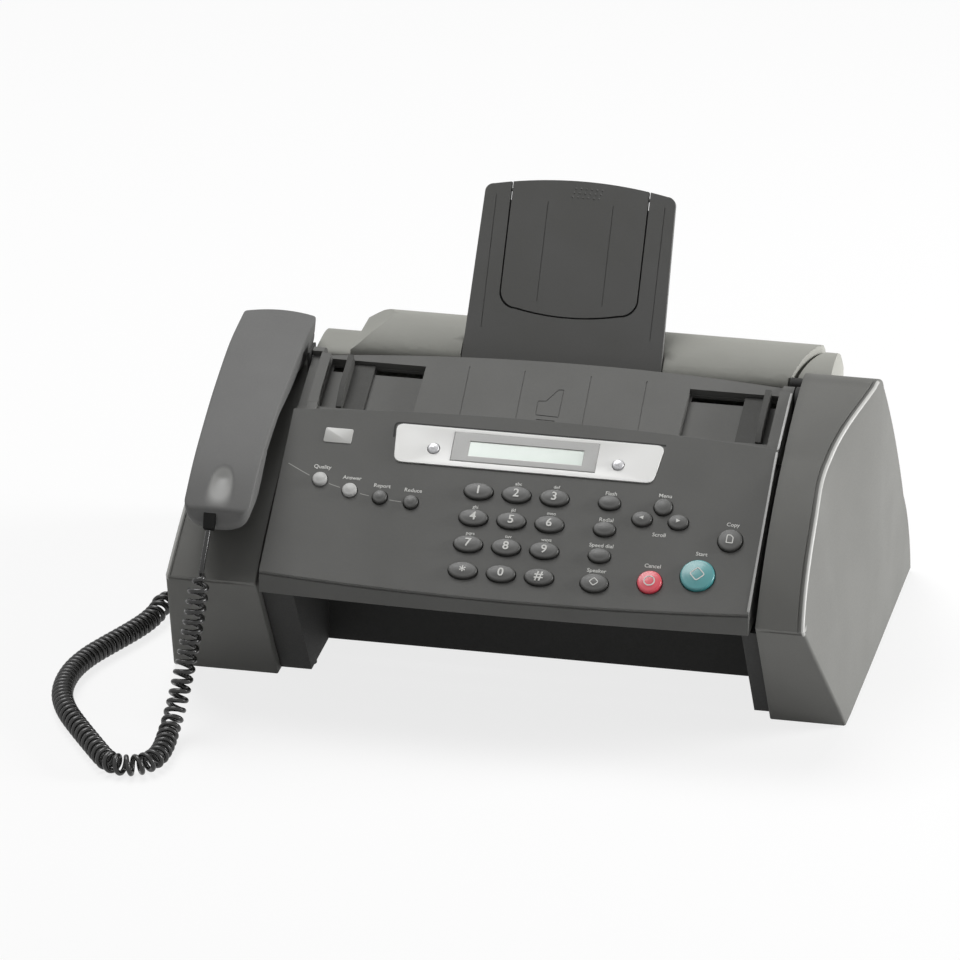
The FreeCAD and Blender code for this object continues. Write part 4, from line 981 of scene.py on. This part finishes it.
@dataclass
class ControlPanel:
    """Hinged panel with its keys, display and printing."""

    DISPLAY_BUTTONS = ((-47.4, 38.7), (49.2, 38.3))
    # Underside and upper side of the print, then how much bolder its words are, in millimetres.
    INK = (-0.15, 0.05, 0.03)
    # Size of the words, and of the letters over the digits.
    WORD, LETTERS = 3.1, 2.6
    # How far the printed line stays from the middle of a mode key.
    KEY_GAP = 5.0

    row: float = 15.7
    column: float = 19.8
    keys: list[Key] = field(default_factory=list)

    def __post_init__(self) -> None:
        """Lay out the keypad as a grid, then the function keys."""
        digits = (("1", "2", "3"), ("4", "5", "6"), ("7", "8", "9"), ("star", "0", "hash"))
        letters = {"2": "abc", "3": "def", "4": "ghi", "5": "jkl", "6": "mno", "7": "pqrs", "8": "tuv",
                   "9": "wxyz"}
        signs = {"star": "*", "hash": "#"}
        for r, line in enumerate(digits):
            self.keys += [Key(f"key_{d}", (c - 1) * self.column, (1 - r) * self.row, 15, 9.4,
                              glyph=signs.get(d, d), label=letters.get(d, "")) for c, d in enumerate(line)]
        side = 48.4
        self.keys += [
            Key("flash_button", side, self.row, 11.4, 8.2, label="Flash", label_rise=5.8),
            Key("redial_button", side, 0, 11.4, 8.2, label="Redial", label_rise=5.8),
            Key("speed_dial_button", side, -self.row, 11.4, 8.2, label="Speed dial", label_rise=6.2),
            Key("speaker_button", side, -32, 14.4, 10.4, icon=Icon.DIAMOND, label="Speaker",
                label_rise=7.6),
            Key("menu_button", 76.3, 16, 9.4, 9.4, label="Menu", label_rise=6.9),
            Key("scroll_left_button", 66.6, 7.9, 10.4, 8.4, icon=Icon.LEFT),
            Key("scroll_right_button", 85.4, 7.8, 10.4, 8.4, icon=Icon.RIGHT),
            Key("copy_button", 113.5, -0.2, 12.6, 12.6, icon=Icon.PAGE, label="Copy", label_rise=9.6),
            Key("cancel_button", 76.5, -28.6, 12.6, 12.6, KEY_RED_PC, "key_red", icon=Icon.RING,
                label="Cancel", label_rise=9.8),
            Key("start_button", 100.2, -22.3, 17.6, 17.6, KEY_TEAL_PC, "key_teal", icon=Icon.DIAMOND,
                label="Start", label_rise=13.0, crown=0.6),
            Key("mode_button_1", -102.9, 14.9, 7.6, 7.6, KEY_PALE_ABS, "key_pale", label="Quality",
                label_rise=7.6),
            Key("mode_button_2", -86.4, 9.9, 7.6, 7.6, KEY_PALE_ABS, "key_pale", label="Answer",
                label_rise=7.6),
            Key("mode_button_3", -70.1, 7.3, 7.6, 7.6, label="Report", label_rise=7.0),
            Key("mode_button_4", -53.6, 6, 7.6, 7.6, label="Reduce", label_rise=7.2),
            *(Key(f"display_button_{end}", *spot, 6, 6, CHROME_KEY, "key_pale")
              for end, spot in zip(("left", "right"), self.DISPLAY_BUTTONS))]

    def build(self) -> None:
        """Make the panel, keys, display and printing."""
        place_piece(softened("control_panel", 0.9), "door", PANEL_ABS, "panel_grey")
        # Bead along the panel's right edge, painted paler as a painted highlight.
        place_piece(PANEL.bead("panel_edge_highlight_bead", 129.0, -40.6, 54.6, 0.05), "door", EDGE_HIGHLIGHT_ABS, "panel_grey")
        for key in self.keys:
            key.cap()
            key.mark()
        self.print_labels()
        self.build_display()

    def print_labels(self) -> None:
        """Pad-printed words by the keys, the line that joins the mode keys, and a small bare plate."""
        places = [(key.label, key.u, key.v + key.label_rise) for key in self.keys if key.label]
        words = [PANEL.lettering(word, self.WORD if word[0].isupper() else self.LETTERS, u, v, *self.INK)
                 for word, u, v in [*places, ("Scroll", 76.7, -0.3)]]
        place_piece(joined("panel_lettering", words), "door", PRINT_INK, "white_trim")
        dots = np.array([(-121, 23), (-108.5, 16.6), (-95, 12), (-78, 8), (-62, 6), (-49, 5.6)])
        u = np.linspace(dots[0, 0], dots[-1, 0], 60)
        curve = np.stack([u, smooth_line(u, dots, 3.0)], -1)
        stops = np.array([key.u for key in self.keys if key.node.startswith("mode")])
        clear = np.abs(u[:, None] - stops[None]).min(1) > self.KEY_GAP
        runs = np.split(np.arange(len(u)), np.nonzero(np.diff(clear))[0] + 1)
        bands = [loose_mesh(PANEL.stroke("run", curve[run], 0.45, self.INK[0], 0.04)) for run in runs
                 if clear[run].all() and len(run) > 1]
        place_piece(joined("mode_key_line", bands), "door", LINE_INK, "silver_trim")
        outline = rounded_path(box_corners(-105.4, -90.8, 37.5, 46.2), 1.0, 5, True)
        plate = PANEL.plate("blank_badge_plate", outline, -0.4, 0.4, 0.25)
        place_piece(plate, "door", BLANK_PLATE, "silver_trim")

    def build_display(self) -> None:
        """Pale bezel with round corners and the opening for the window, the frame in it, and a thin band of
        painted shadow over the bezel.
        """
        corners = np.array([(-66.8, 29.4), (68.6, 29.4), (71.6, 52), (-69, 52)])
        blank = PANEL.plate("bezel_blank", rounded_path(corners, 4.2, 8, True), -0.3, 0.8, 0.3)
        below, over, bore = -2, 3, 3.35
        opening = PANEL.plate("opening", box_corners(-38, 38, 32.4, 50), below, over)
        turn = full_turn(40)
        ring = bore * np.stack([np.cos(turn), np.sin(turn)], -1)
        holes = [PANEL.plate("hole", np.array(spot) + ring, below, over) for spot in self.DISPLAY_BUTTONS]
        cutter = joined("bezel_cutter", [loose_mesh(p) for p in [opening, *holes]])
        even_shading(carved(blank, [cutter]))
        blank.name = "display_bezel_trim"
        place_piece(blank, "door", BEZEL_PAINT, "white_trim", "display_bezel")
        place_piece(softened("display_frame", 0.35), "door", FRAME_PAINT, "silver_trim")
        # Thin dark band along the bezel's top edge and left end: painted shadow in the gap between bezel
        # and panel.
        edge = np.array([(-69.3, 44.0), (-69.9, 52.7), (-60.0, 52.8), (0.0, 52.8), (64.0, 52.8),
                         (71.8, 52.6)])
        gap = PANEL.stroke("bezel_painted_shadow_line", rounded_path(edge, 2.6, 6), 1.0, -0.1, 0.07)
        place_piece(gap, "door", BASE_ABS, "dark_case")


@dataclass
class PaperPath:
    """Document tray with its guides, and the paper support with its flap."""

    groove_width: float = 0.45
    groove_depth: float = 0.35
    groove_over: float = 1.0
    dot_radius: float = 0.62
    dot_height: float = 0.35
    dot_sunk: float = 0.02
    dot_first: tuple[float, float] = (-4.0, 90.4)
    dot_pitch: tuple[float, float] = (2.8, 2.3)
    dot_shift: float = 0.7

    def grooves(self, frame_of: Slope, lines: list[Array], closed: Array | None = None) -> Object:
        """One cutter for straight moulded grooves and an optional closed outline.

        Args:
            frame_of: Slope that the lines lie on.
            lines: Open lines (u, v).
            closed: Closed outline (u, v).

        Returns:
            The cutter.
        """
        size = (self.groove_width, -self.groove_depth, self.groove_over)
        bands = [frame_of.stroke("band", line, *size) for line in lines]
        if closed is not None:
            bands.append(frame_of.stroke("band", closed, *size, True))
        return joined("groove_cutter", [loose_mesh(band) for band in bands])

    def build(self) -> None:
        """Make the tray, guides, support and flap."""
        upright = [np.array([(x + 0.05 * (46 - v), v) for v in (10.0, 22.0, 34.0, 46.0)])
                   for x in (-36.1, -6.8, 28.1, 57.4)]
        page = np.array([(4.6, 15.2), (16.6, 14.8), (15.8, 34.6), (13.0, 34.4), (8.2, 25.6), (4.0, 25.2)])
        base = np.array([(5.4, 11.9), (10.0, 11.9), (15.2, 11.8)])
        cutter = self.grooves(TRAY, [*upright, base], rounded_path(page, 0.5, 3, True))
        cutters = [cutter, TRAY.plate("rail_cutter", box_corners(-120.5, -114.2, 7.0, 45.5), -0.9, 4.0)]
        place_piece(softened("document_tray", 0.7, cutters), "door", TRAY_ABS, "grey_case")
        # Bead along the right rail's outer edge, painted paler as a painted highlight.
        place_piece(TRAY.bead("rail_edge_highlight_bead", 133.8, 1.6, 43.2, 3.0), "door", EDGE_HIGHLIGHT_ABS, "grey_case")
        for side, low, high in (("left", -114.2, -109.0), ("right", 127.6, 134.0)):
            nose = rounded_path(box_corners(low, high, 1.0, 9.5), 0.8, 4, True)
            rail = TRAY.plate(f"rail_nose_{side}", nose, -0.8, 2.95, 0.5)
            place_piece(rail, "door", TRAY_ABS, "grey_case")
        for side in ("left", "right"):
            guide = softened(f"document_guide_{side}", 0.35)
            place_piece(guide, f"guide_{side}", GUIDE_ABS, "grey_case")
        ribs = [np.array([(u, v) for v in (18.0, 42.0, 66.0, 88.5)]) for u in (-44.2, 45.2)]
        support = softened("paper_support", 0.6, [self.grooves(SUPPORT, ribs)])
        place_piece(support, "chassis", SUPPORT_ABS, "grey_case")
        ribs = [np.array([(u, v) for v in (34.0, 52.0, 70.0, 87.0)]) for u in (-16.5, 18.0)]
        flap = softened("paper_support_flap", 0.6, [self.grooves(SUPPORT, ribs)])
        place_piece(flap, "flap", SUPPORT_ABS, "grey_case")
        self.build_grip()
        self.build_rebate()

    def build_grip(self) -> None:
        """Rows of small raised dots at the flap's upper edge: domes of height h (1 - r^2)."""
        turn = full_turn(10)
        share = np.array([1.0, 0.7, 0.35, 0.0])
        u = self.dot_radius * share[:, None] * np.cos(turn)
        v = self.dot_radius * share[:, None] * np.sin(turn)
        w = (self.dot_height * (1 - share ** 2) - self.dot_sunk)[:, None] * np.ones_like(u)
        (first_u, first_v), (across, up) = self.dot_first, self.dot_pitch
        spots = [(first_u + across * c + self.dot_shift * r, first_v + up * r) for r in range(3)
                 for c in range(6)]
        domes = [loose_mesh(sheet("dome", SUPPORT.place(u + a, v + b, w), True)) for a, b in spots]
        place_piece(joined("flap_grip_dots", domes), "flap", SUPPORT_ABS, "grey_case")

    def build_rebate(self) -> None:
        """Thin stop behind the gap round the flap: a band along the gap, on the back of the support."""
        corner, knee, side = (27.4, 29.4), (33.76, 32.04), (36.4, 38.4)
        left = [(-u, v) for u, v in (side, knee, corner)]
        upper = 87.0
        line = np.vstack([[(-side[0], upper)], arc_through(*left, 8),
                          arc_through(left[2], (0.0, 26.4), corner, 20),
                          arc_through(corner, knee, side, 8), [side, (side[0], upper)]])
        rebate = SUPPORT.stroke("support_flap_stop", line, 4.4, -4.2, -3.22)
        place_piece(rebate, "chassis", BASE_ABS, "dark_case")


@dataclass
class Handset:
    """Corded handset: flat-topped sections with leaning sides, from the mouthpiece to the earpiece."""

    front: float = -117.0
    back: float = 31.5
    middle: float = -142.5
    half_front: float = 17.5
    half_back: float = 19.5
    near_round: float = 5.0
    far_round: float = 2.2
    bulge: float = 3.0
    lean: float = 1.8
    edge: float = 1.3
    crown: float = 0.9
    scoop_length: float = 23.0
    scoop_half: float = 7.8
    scoop_depth: float = 2.0
    lower_round: float = 7.0
    lower_rise: float = 0.8
    seam_drop: float = 9.0
    seam_width: float = 0.4
    seam_depth: float = 0.45
    hole_radius: float = 1.1
    hole_ring: float = 7.0
    top: Array = field(default_factory=lambda: np.array(
        [(-117, 112), (-109, 118.5), (-93, 129.5), (-50, 146), (-3, 158), (25, 160.6), (31.5, 161.3)]))
    base: Array = field(default_factory=lambda: np.array(
        [(-117, 100), (-110, 98.2), (-90, 98.7), (-84, 104), (-74, 118), (-50, 131), (-8, 143), (2, 140.4),
         (27, 142.6), (31.5, 144.5)]))

    def stations(self) -> Array:
        """Places along the handset, close together where the ends turn and over the scoop.

        Returns:
            Places in millimetres, rising.
        """
        turn = np.linspace(0, math.pi / 2, 9)
        near = self.front + self.near_round * (1 - np.cos(turn))
        far = self.back - self.far_round * (1 - np.cos(turn[::-1]))
        dense = np.linspace(near[-1], self.front + self.scoop_length + 3, 34)
        return np.r_[near, dense[1:], np.linspace(dense[-1], far[0], 64)[1:-1], far]

    def run(self, start: Array, end: Array, share: Array) -> Array:
        """Straight runs between two points of every station, as (stations, shares, 2)."""
        return start[:, None] + (end - start)[:, None] * share[None, :, None]

    def half_section(self, y: Array, half: Array, top: Array, base: Array) -> Array:
        """Right half of every section, from the middle of the top round to the middle of the base.

        Args:
            y: Places of the stations.
            half: Half widths of the stations.
            top: Upper heights.
            base: Lower heights.

        Returns:
            Points (x, z) as (stations, columns, 2).
        """
        tall = top - base
        edge = np.minimum(self.edge, tall * 0.2)
        mouth = 1 - step_between(y, -75, -10)
        bowl = np.minimum(4.0 + 8.5 * mouth, tall * 0.72)
        turned = np.minimum(4.5 + 11.0 * mouth, half * 0.85)
        foot = half - self.lean * tall / 18
        zero = np.zeros_like(half)
        slope = (half - foot) / tall
        upper = self.run(np.stack([zero, top], -1), np.stack([half - edge, top], -1), np.linspace(0, 1, 22))
        turn = corner_arcs(upper[:, -1], np.stack([half, top], -1),
                           np.stack([half - slope * edge, top - edge], -1), 6)
        low = np.stack([foot + slope * bowl, base + bowl], -1)
        flank = self.run(turn[:, -1], low, np.linspace(0, 1, 26))
        chin = corner_arcs(low, np.stack([foot, base], -1), np.stack([foot - turned, base], -1), 11)
        under = self.run(chin[:, -1], np.stack([zero, base], -1), np.linspace(0, 1, 7))
        return np.concatenate([upper, turn[:, 1:], flank[:, 1:], chin[:, 1:], under[:, 1:]], 1)

    def dish(self, x: Array, y: Array) -> Array:
        """Share of the thumb scoop's depth: a parabola across, rising from the near edge to its tip.

        Args:
            x: Distances from the middle.
            y: Places along the handset.

        Returns:
            Shares from 0 to 1.
        """
        gone = np.clip((y - self.front) / self.scoop_length, 0, 1)
        width = self.scoop_half * np.sqrt(np.clip(1 - gone ** 2.2, 0.0004, 1))
        along = np.minimum(gone / 0.7, 1) * (1 - step_between(gone, 0.7, 1.0))
        return np.clip(1 - (x / width) ** 2, 0, 1) * along

    def build(self) -> None:
        """Carry the section along the stations, with a crowned top, a thumb scoop and a parting groove."""
        y = self.stations()
        drawn = round_off(y - self.front, self.near_round) + round_off(self.back - y, self.far_round)
        half = self.half_front + (self.half_back - self.half_front) * step_between(y, -110, 10) - drawn
        tip = np.minimum(y - self.front, self.back - y)
        top = smooth_line(y, self.top, 11.0) - round_off(tip, self.edge)
        base = smooth_line(y, self.base, 2.2) + self.lower_rise * round_off(tip, self.lower_round)
        right = self.half_section(y, half, top, base)
        x, z = right[..., 0], right[..., 1]
        fade = 4.0
        level = np.clip((z - top[:, None] + fade) / fade, 0, 1)
        crowned = z + self.crown * level * (1 - (x / half[:, None]) ** 2)
        seam = np.exp(-((z - (top[:, None] - self.seam_drop)) / self.seam_width) ** 2)
        crowned -= self.scoop_depth * self.dish(x, y[:, None]) * (level > 0.9)
        x = x - self.seam_depth * seam * (x > 0.8 * half[:, None])
        place = y[:, None] - self.bulge * step_between(y, -40, 30)[:, None] * (x / self.half_back) ** 2
        mirror = slice(-2, 0, -1)
        grid = np.stack([np.hstack([x, -x[:, mirror]]) + self.middle, np.hstack([place, place[:, mirror]]),
                         np.hstack([crowned, crowned[:, mirror]])], -1)
        shut = np.linspace(0, 1, 7)[:-1, None, None]
        caps = [grid[k].mean(0) + (grid[k] - grid[k].mean(0)) * shut for k in (0, -1)]
        whole = np.concatenate([caps[0], grid, caps[1][::-1]])[:, ::-1]
        piece = sheet("handset_shells", whole, True, 50)
        place_piece(piece, "handset", HANDSET_ABS, "handset_grey", "handset_upper_shell",
                    "handset_lower_shell")
        # Painted highlight in the thumb scoop: top corners inside the scoop are painted paler and glossier.
        spots = corner_places(piece)
        high = spots[:, 2] > np.interp(spots[:, 1], y, top) - 3.5
        highlight_share = self.dish(np.abs(spots[:, 0] - self.middle), spots[:, 1]) * high
        paint_highlight(piece, step_between(highlight_share, 0.02, 0.4))
        self.build_sound_holes()

    def build_sound_holes(self) -> None:
        """Rings of small dark sound holes under the earpiece and the mouthpiece, as shallow discs."""
        turn, ring = full_turn(14), self.hole_ring * np.exp(1j * full_turn(8))
        spots = [(0.0, 0.0), *zip(ring.real.tolist(), ring.imag.tolist())]
        size = self.hole_radius * np.array([0.0, 1.0, 1.0])[:, None]
        depth = np.array([-0.25, -0.25, 2.0])[:, None] * np.ones_like(turn)
        discs = []
        for y, z in ((14.0, 141.2), (-100.0, 98.2)):
            for a, b in spots:
                grid = [self.middle + a + size * np.cos(turn), y + b + size * np.sin(turn), z + depth]
                discs.append(loose_mesh(sheet("disc", np.stack(grid, -1), True)))
        place_piece(joined("handset_sound_holes", discs), "handset", RUBBER, "rubber")


@dataclass
class CurlyCord:
    """Curly handset cord: a helix about a smooth route from the handset's plug to the base's."""

    wire: float = 2.75
    curl: float = 4.3
    lead: float = 20.0
    tail: float = 15.0
    step: float = 0.2
    sides: int = 10
    plug_tilt: float = 53.0
    pitch: Array = field(default_factory=lambda: np.array(
        [(0, 5.6), (110, 5.2), (210, 5), (232, 3.95), (345, 3.95), (360, 5.8), (600, 5.8)]))
    route: Array = field(default_factory=lambda: np.array([
        (-145.5, -120.9, 102.1), (-146, -129.5, 90.6), (-147, -134.5, 79), (-148.5, -137.5, 66.5),
        (-150, -140, 54), (-152, -143, 41), (-154, -147.5, 27.5), (-155.8, -155, 15),
        (-156.6, -165.5, 8), (-156, -176, 6.4), (-155.8, -185, 6.2), (-156.8, -193.2, 6.2),
        (-160.4, -199.8, 6.2), (-166.5, -203.8, 6.2), (-173.6, -204, 6.2), (-180, -200.6, 6.2),
        (-185.4, -193.2, 6.2), (-193.8, -180.8, 6.2), (-204.8, -164.4, 6.2), (-216, -146.5, 6.2),
        (-223.5, -127, 6.2), (-225, -103.5, 6.2), (-221, -83.5, 6.2), (-213.5, -65.5, 6.2),
        (-206, -48.5, 6.2), (-200.5, -33.5, 6.3), (-197.6, -21, 7.4), (-196.8, -9, 10.6),
        (-193.6, -2.8, 13), (-188.4, 0, 14), (-182.6, 0, 14)]))

    def line(self) -> Array:
        """Points along the route's NURBS spline, as Blender gives them for a curve with no bevel.

        Returns:
            Points in millimetres.
        """
        curve = bpy.data.curves.new("cord_line", "CURVE")
        curve.dimensions = "3D"
        curve.resolution_u = 16
        spline = curve.splines.new("NURBS")
        spline.points.add(len(self.route) - 1)
        spline.points.foreach_set("co", np.column_stack([self.route, np.ones(len(self.route))]).ravel())
        spline.order_u = 3
        spline.use_endpoint_u = True
        drawn = linked("cord_line", curve)
        mesh = bpy.data.meshes.new_from_object(drawn)
        points = np.empty(len(mesh.vertices) * 3)
        mesh.vertices.foreach_get("co", points)
        bpy.data.objects.remove(drawn)
        bpy.data.meshes.remove(mesh)
        return points.reshape(-1, 3)

    def helix(self) -> tuple[Array, Array]:
        """Wire middle and direction outwards from the route: radius times (cos, sin) in a carried frame.

        Returns:
            Wire points and outward directions.
        """
        known = self.line()
        gone = np.r_[0, np.cumsum(np.linalg.norm(np.diff(known, axis=0), axis=1))]
        at = np.linspace(0, gone[-1], int(gone[-1] / self.step))
        middle = np.stack([np.interp(at, gone, known[:, k]) for k in range(3)], -1)
        along = unit(np.gradient(middle, axis=0))
        side = carried_sides(along, np.cross(along[0], (1.0, 0.0, 0.0)))
        up = np.cross(along, side)
        first, last = self.lead, gone[-1] - self.tail
        spacing = np.interp(at, self.pitch[:, 0], self.pitch[:, 1])
        turning = np.where((at > first) & (at < last), 2 * math.pi / spacing, 0)
        angle = np.cumsum(turning) * (at[1] - at[0])
        swell = step_between(np.minimum(at - first, last - at), 0, 2 * spacing)
        out = side * np.cos(angle)[:, None] + up * np.sin(angle)[:, None]
        return middle + out * (self.curl * swell)[:, None], out

    def build(self) -> None:
        """Round tube about the wire's middle, its ring set out from the outward direction."""
        wire, out = self.helix()
        along = unit(np.gradient(wire, axis=0))
        out = unit(out - along * (out * along).sum(1)[:, None])
        over = np.cross(along, out)
        turn = full_turn(self.sides)
        ring = out[:, None] * np.cos(turn)[None, :, None] + over[:, None] * np.sin(turn)[None, :, None]
        tube = wire[:, None] + ring * self.wire / 2
        tube = np.concatenate([np.repeat(wire[:1, None], self.sides, 1), tube,
                               np.repeat(wire[-1:, None], self.sides, 1)])
        piece = sheet("handset_curly_cord", tube, True, 60)
        piece.data.materials.append(CORD_PVC.material())
        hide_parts("handset_cord")
        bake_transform(piece)
        plug = self.build_plug()

    def build_plug(self) -> Object:
        """Flat dark plug that the cord leaves by, lying along the cord's first direction.

        Returns:
            The plug.
        """
        way = Slope(tuple(self.route[0]), self.plug_tilt)
        outline = np.array([(-2.7, 0.55), (2.7, 0.55), (3.4, 10.0), (-3.4, 10.0)])
        plug = way.plate("handset_cord_plug", rounded_path(outline, 0.6, 4, True), -1.85, 1.85, 0.4)
        return place_piece(plug, "handset", PLUG_PC, "cord_black", "handset_plug")


@dataclass
class Case:
    """Base, ends and rear cover."""

    hinge: tuple[float, float] = (6.0, 146.0)
    hinge_gap: tuple[float, float] = (135.1, 137.5)
    boss: tuple[float, float] = (19.0, 149.6)
    boss_ends: tuple[float, float] = (130.0, 137.5)
    hook: tuple[float, float] = (-142.0, 15.0)
    hook_bore: float = 4.3
    hook_floor: float = 124.0
    hook_top: float = 170.0
    cap_radius: float = 7.2
    boss_radius: float = 3.2
    turned_edge: float = 0.4
    right_line: dict = field(default_factory=lambda: {
        "knee": (-119, 74), "belly": (-87, 109.3), "brow": (-43, 136.5), "crown": (-16, 149),
        "peak": (10, 156), "tip": (19, 156.4), "turn": (25, 150.5), "back": (66, 104), "hip": (98.5, 57),
        "heel": (117, 32), "seat": (126, 10)})
    left_line: dict = field(default_factory=lambda: {
        "knee": (-119, 74), "belly": (-88, 97.5), "brow": (-45, 119.5), "crown": (-14, 133),
        "peak": (16, 140.6), "tip": (24, 140.8), "turn": (30, 136), "back": (67, 95), "hip": (98.5, 57),
        "heel": (117, 32), "seat": (126, 10)})

    def build(self) -> None:
        """Make the base moulding, the two ends and the cover."""
        place_piece(softened("base_pan", 0.9), "chassis", BASE_ABS, "dark_case")
        EndHousing("right_end_shell", "right_end_housing", 137.6, 1, self.right_line).build()
        left = EndHousing("left_end_shell", "left_end_housing", -121.6, -1, self.left_line, lean_end=215.0,
                          front_draw=1.2, front_lean=0.105).build()
        carved(left, [drum("hook_well", 2, self.hook, (self.hook_floor, self.hook_top), self.hook_bore)])
        place_piece(softened("rear_cover", 1.1), "chassis", REAR_ABS, "grey_case")
        self.build_hinge_cap()

    def build_hinge_cap(self) -> None:
        """Dark washer round the hinge and a dark drum behind it: painted shade filling the dark notch and
        the gap at the right end.
        """
        drums = (("hinge_gap_shade_washer", self.hinge, self.hinge_gap, self.cap_radius),
                 ("hinge_notch_shade_drum", self.boss, self.boss_ends, self.boss_radius))
        for name, centre, ends, radius in drums:
            turned = drum(name, 0, centre, ends, radius, self.turned_edge)
            place_piece(turned, "chassis", BASE_ABS, "dark_case")


def dress_nodes() -> None:
    """Give every CAD node that still shows its own finish."""
    finishes = {
        "rubber_feet": RUBBER, "door_hinge_pins": STEEL, "door_liner": BASE_ABS,
        "display_window": LCD_GLASS, "keypad_board": BOARD_FR4, "scan_bar": BASE_ABS,
        "guide_pinion": GEAR_POM, "base_plug": PLUG_PC, "hook_switch": BASE_ABS, "carriage_rod": STEEL,
        "print_carriage": BASE_ABS, "ink_cartridge": CARTRIDGE_PP, "paper_feed_roller": RUBBER,
        "feed_motor": STEEL, "drive_pinion": GEAR_POM, "main_board": BOARD_FR4}
    for name, finish in finishes.items():
        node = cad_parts[name]
        node.data.materials.clear()
        node.data.materials.append(finish.material())


@dataclass
class Studio:
    """White floor and background, soft lamps and the camera of the photograph."""

    eye: tuple[float, float, float] = (0.8103, -3.9156, 1.8715)
    right: tuple[float, float, float] = (0.97775, 0.20978, 0.0)
    up: tuple[float, float, float] = (-0.08532, 0.39768, 0.91355)
    lens: float = 315.8
    sensor: float = 36.0
    far: float = 50.0
    aim: tuple[float, float, float] = (0.0, 0.0, 0.08)
    floor_reach: float = 8.0
    floor_drop: float = 0.0002
    floor_glow: float = 0.8
    world_light: float = 0.13

    # Name, place and side in metres, and watts of each lamp.
    LAMPS = (("window_right", (1.7, 0.3, 0.5), 0.7, 37), ("sky_left", (-0.6, 0.45, 2.1), 1.3, 35),
             ("fill_front", (-0.9, -2.0, 1.5), 1.8, 2))

    def build(self) -> None:
        """Make the floor, world, lamps and camera."""
        self.build_floor()
        self.build_world()
        for lamp in self.LAMPS:
            self.build_lamp(*lamp)
        camera = bpy.data.cameras.new("photo_camera")
        camera.lens, camera.sensor_width, camera.clip_end = self.lens, self.sensor, self.far
        rig = linked("photo_camera", camera)
        right, up = Vector(self.right), Vector(self.up)
        turn = Matrix((right, up, right.cross(up))).transposed()
        rig.matrix_world = Matrix.Translation(Vector(self.eye)) @ turn.to_4x4()
        bpy.context.scene.camera = rig
        bpy.context.scene.view_settings.view_transform = "Standard"

    def seen_share(self, tree: bpy.types.NodeTree, share: float) -> bpy.types.NodeSocket:
        """A share for rays that show the background straight, mirrored or through glass, else nothing.

        Args:
            tree: Node tree that takes the nodes.
            share: Value for such rays.

        Returns:
            The socket with the value.
        """
        path = add_node(tree, "ShaderNodeLightPath")
        shiny = add_node(tree, "ShaderNodeMath", {"operation": "MAXIMUM"},
                         {0: path.outputs["Is Glossy Ray"], 1: path.outputs["Is Transmission Ray"]})
        shown = add_node(tree, "ShaderNodeMath", {"operation": "MAXIMUM"},
                         {0: path.outputs["Is Camera Ray"], 1: shiny.outputs[0]})
        scaled = add_node(tree, "ShaderNodeMath", {"operation": "MULTIPLY", 1: share},
                          {0: shown.outputs[0]})
        return scaled.outputs[0]

    def build_floor(self) -> None:
        """Pale floor that shows nearly white and keeps a light shadow."""
        reach = self.floor_reach
        square = box_corners(-reach, reach, -reach, reach).tolist()
        mesh = bpy.data.meshes.new("floor")
        mesh.from_pydata([(*corner, -self.floor_drop) for corner in square], [], [(0, 1, 2, 3)])
        floor = linked("floor", mesh)
        paint = bpy.data.materials.new("matt_white_floor")
        paint.use_nodes = True
        tree = paint.node_tree
        tree.nodes.clear()
        matt = add_node(tree, "ShaderNodeBsdfDiffuse", {"Color": linear("#f4f4f4")})
        glow = add_node(tree, "ShaderNodeEmission", {"Strength": 1.0})
        mix = add_node(tree, "ShaderNodeMixShader", None,
                       {0: self.seen_share(tree, self.floor_glow), 1: matt.outputs[0], 2: glow.outputs[0]})
        add_node(tree, "ShaderNodeOutputMaterial", None, {"Surface": mix.outputs[0]})
        mesh.materials.append(paint)

    def build_world(self) -> None:
        """White where it is seen, a soft grey light elsewhere."""
        world = bpy.data.worlds.new("studio")
        bpy.context.scene.world = world
        world.use_nodes = True
        tree = world.node_tree
        tree.nodes.clear()
        white = linear("#ffffff")
        seen = add_node(tree, "ShaderNodeBackground", {"Color": white, "Strength": 1.0})
        light = add_node(tree, "ShaderNodeBackground", {"Color": white, "Strength": self.world_light})
        mix = add_node(tree, "ShaderNodeMixShader", None,
                       {0: self.seen_share(tree, 1.0), 1: light.outputs[0], 2: seen.outputs[0]})
        add_node(tree, "ShaderNodeOutputWorld", None, {"Surface": mix.outputs[0]})

    def build_lamp(self, name: str, place: tuple[float, float, float], size: float, power: float) -> None:
        """Square soft lamp aimed at the machine.

        Args:
            name: Lamp name.
            place: Where it hangs, in metres.
            size: Side in metres.
            power: Watts.
        """
        lamp = bpy.data.lights.new(name, "AREA")
        lamp.size, lamp.energy = size, power
        rig = linked(name, lamp)
        rig.location = place
        rig.rotation_mode = "QUATERNION"
        rig.rotation_quaternion = (Vector(self.aim) - Vector(place)).to_track_quat("-Z", "Y")


def main() -> None:
    """Build the looks piece by piece."""
    logging.basicConfig(level=logging.INFO, format="%(name)s: %(message)s")
    Studio().build()
    CurlyCord().build()
    Case().build()
    ControlPanel().build()
    PaperPath().build()
    Handset().build()
    dress_nodes()


if __name__ == "__main__":
    main()
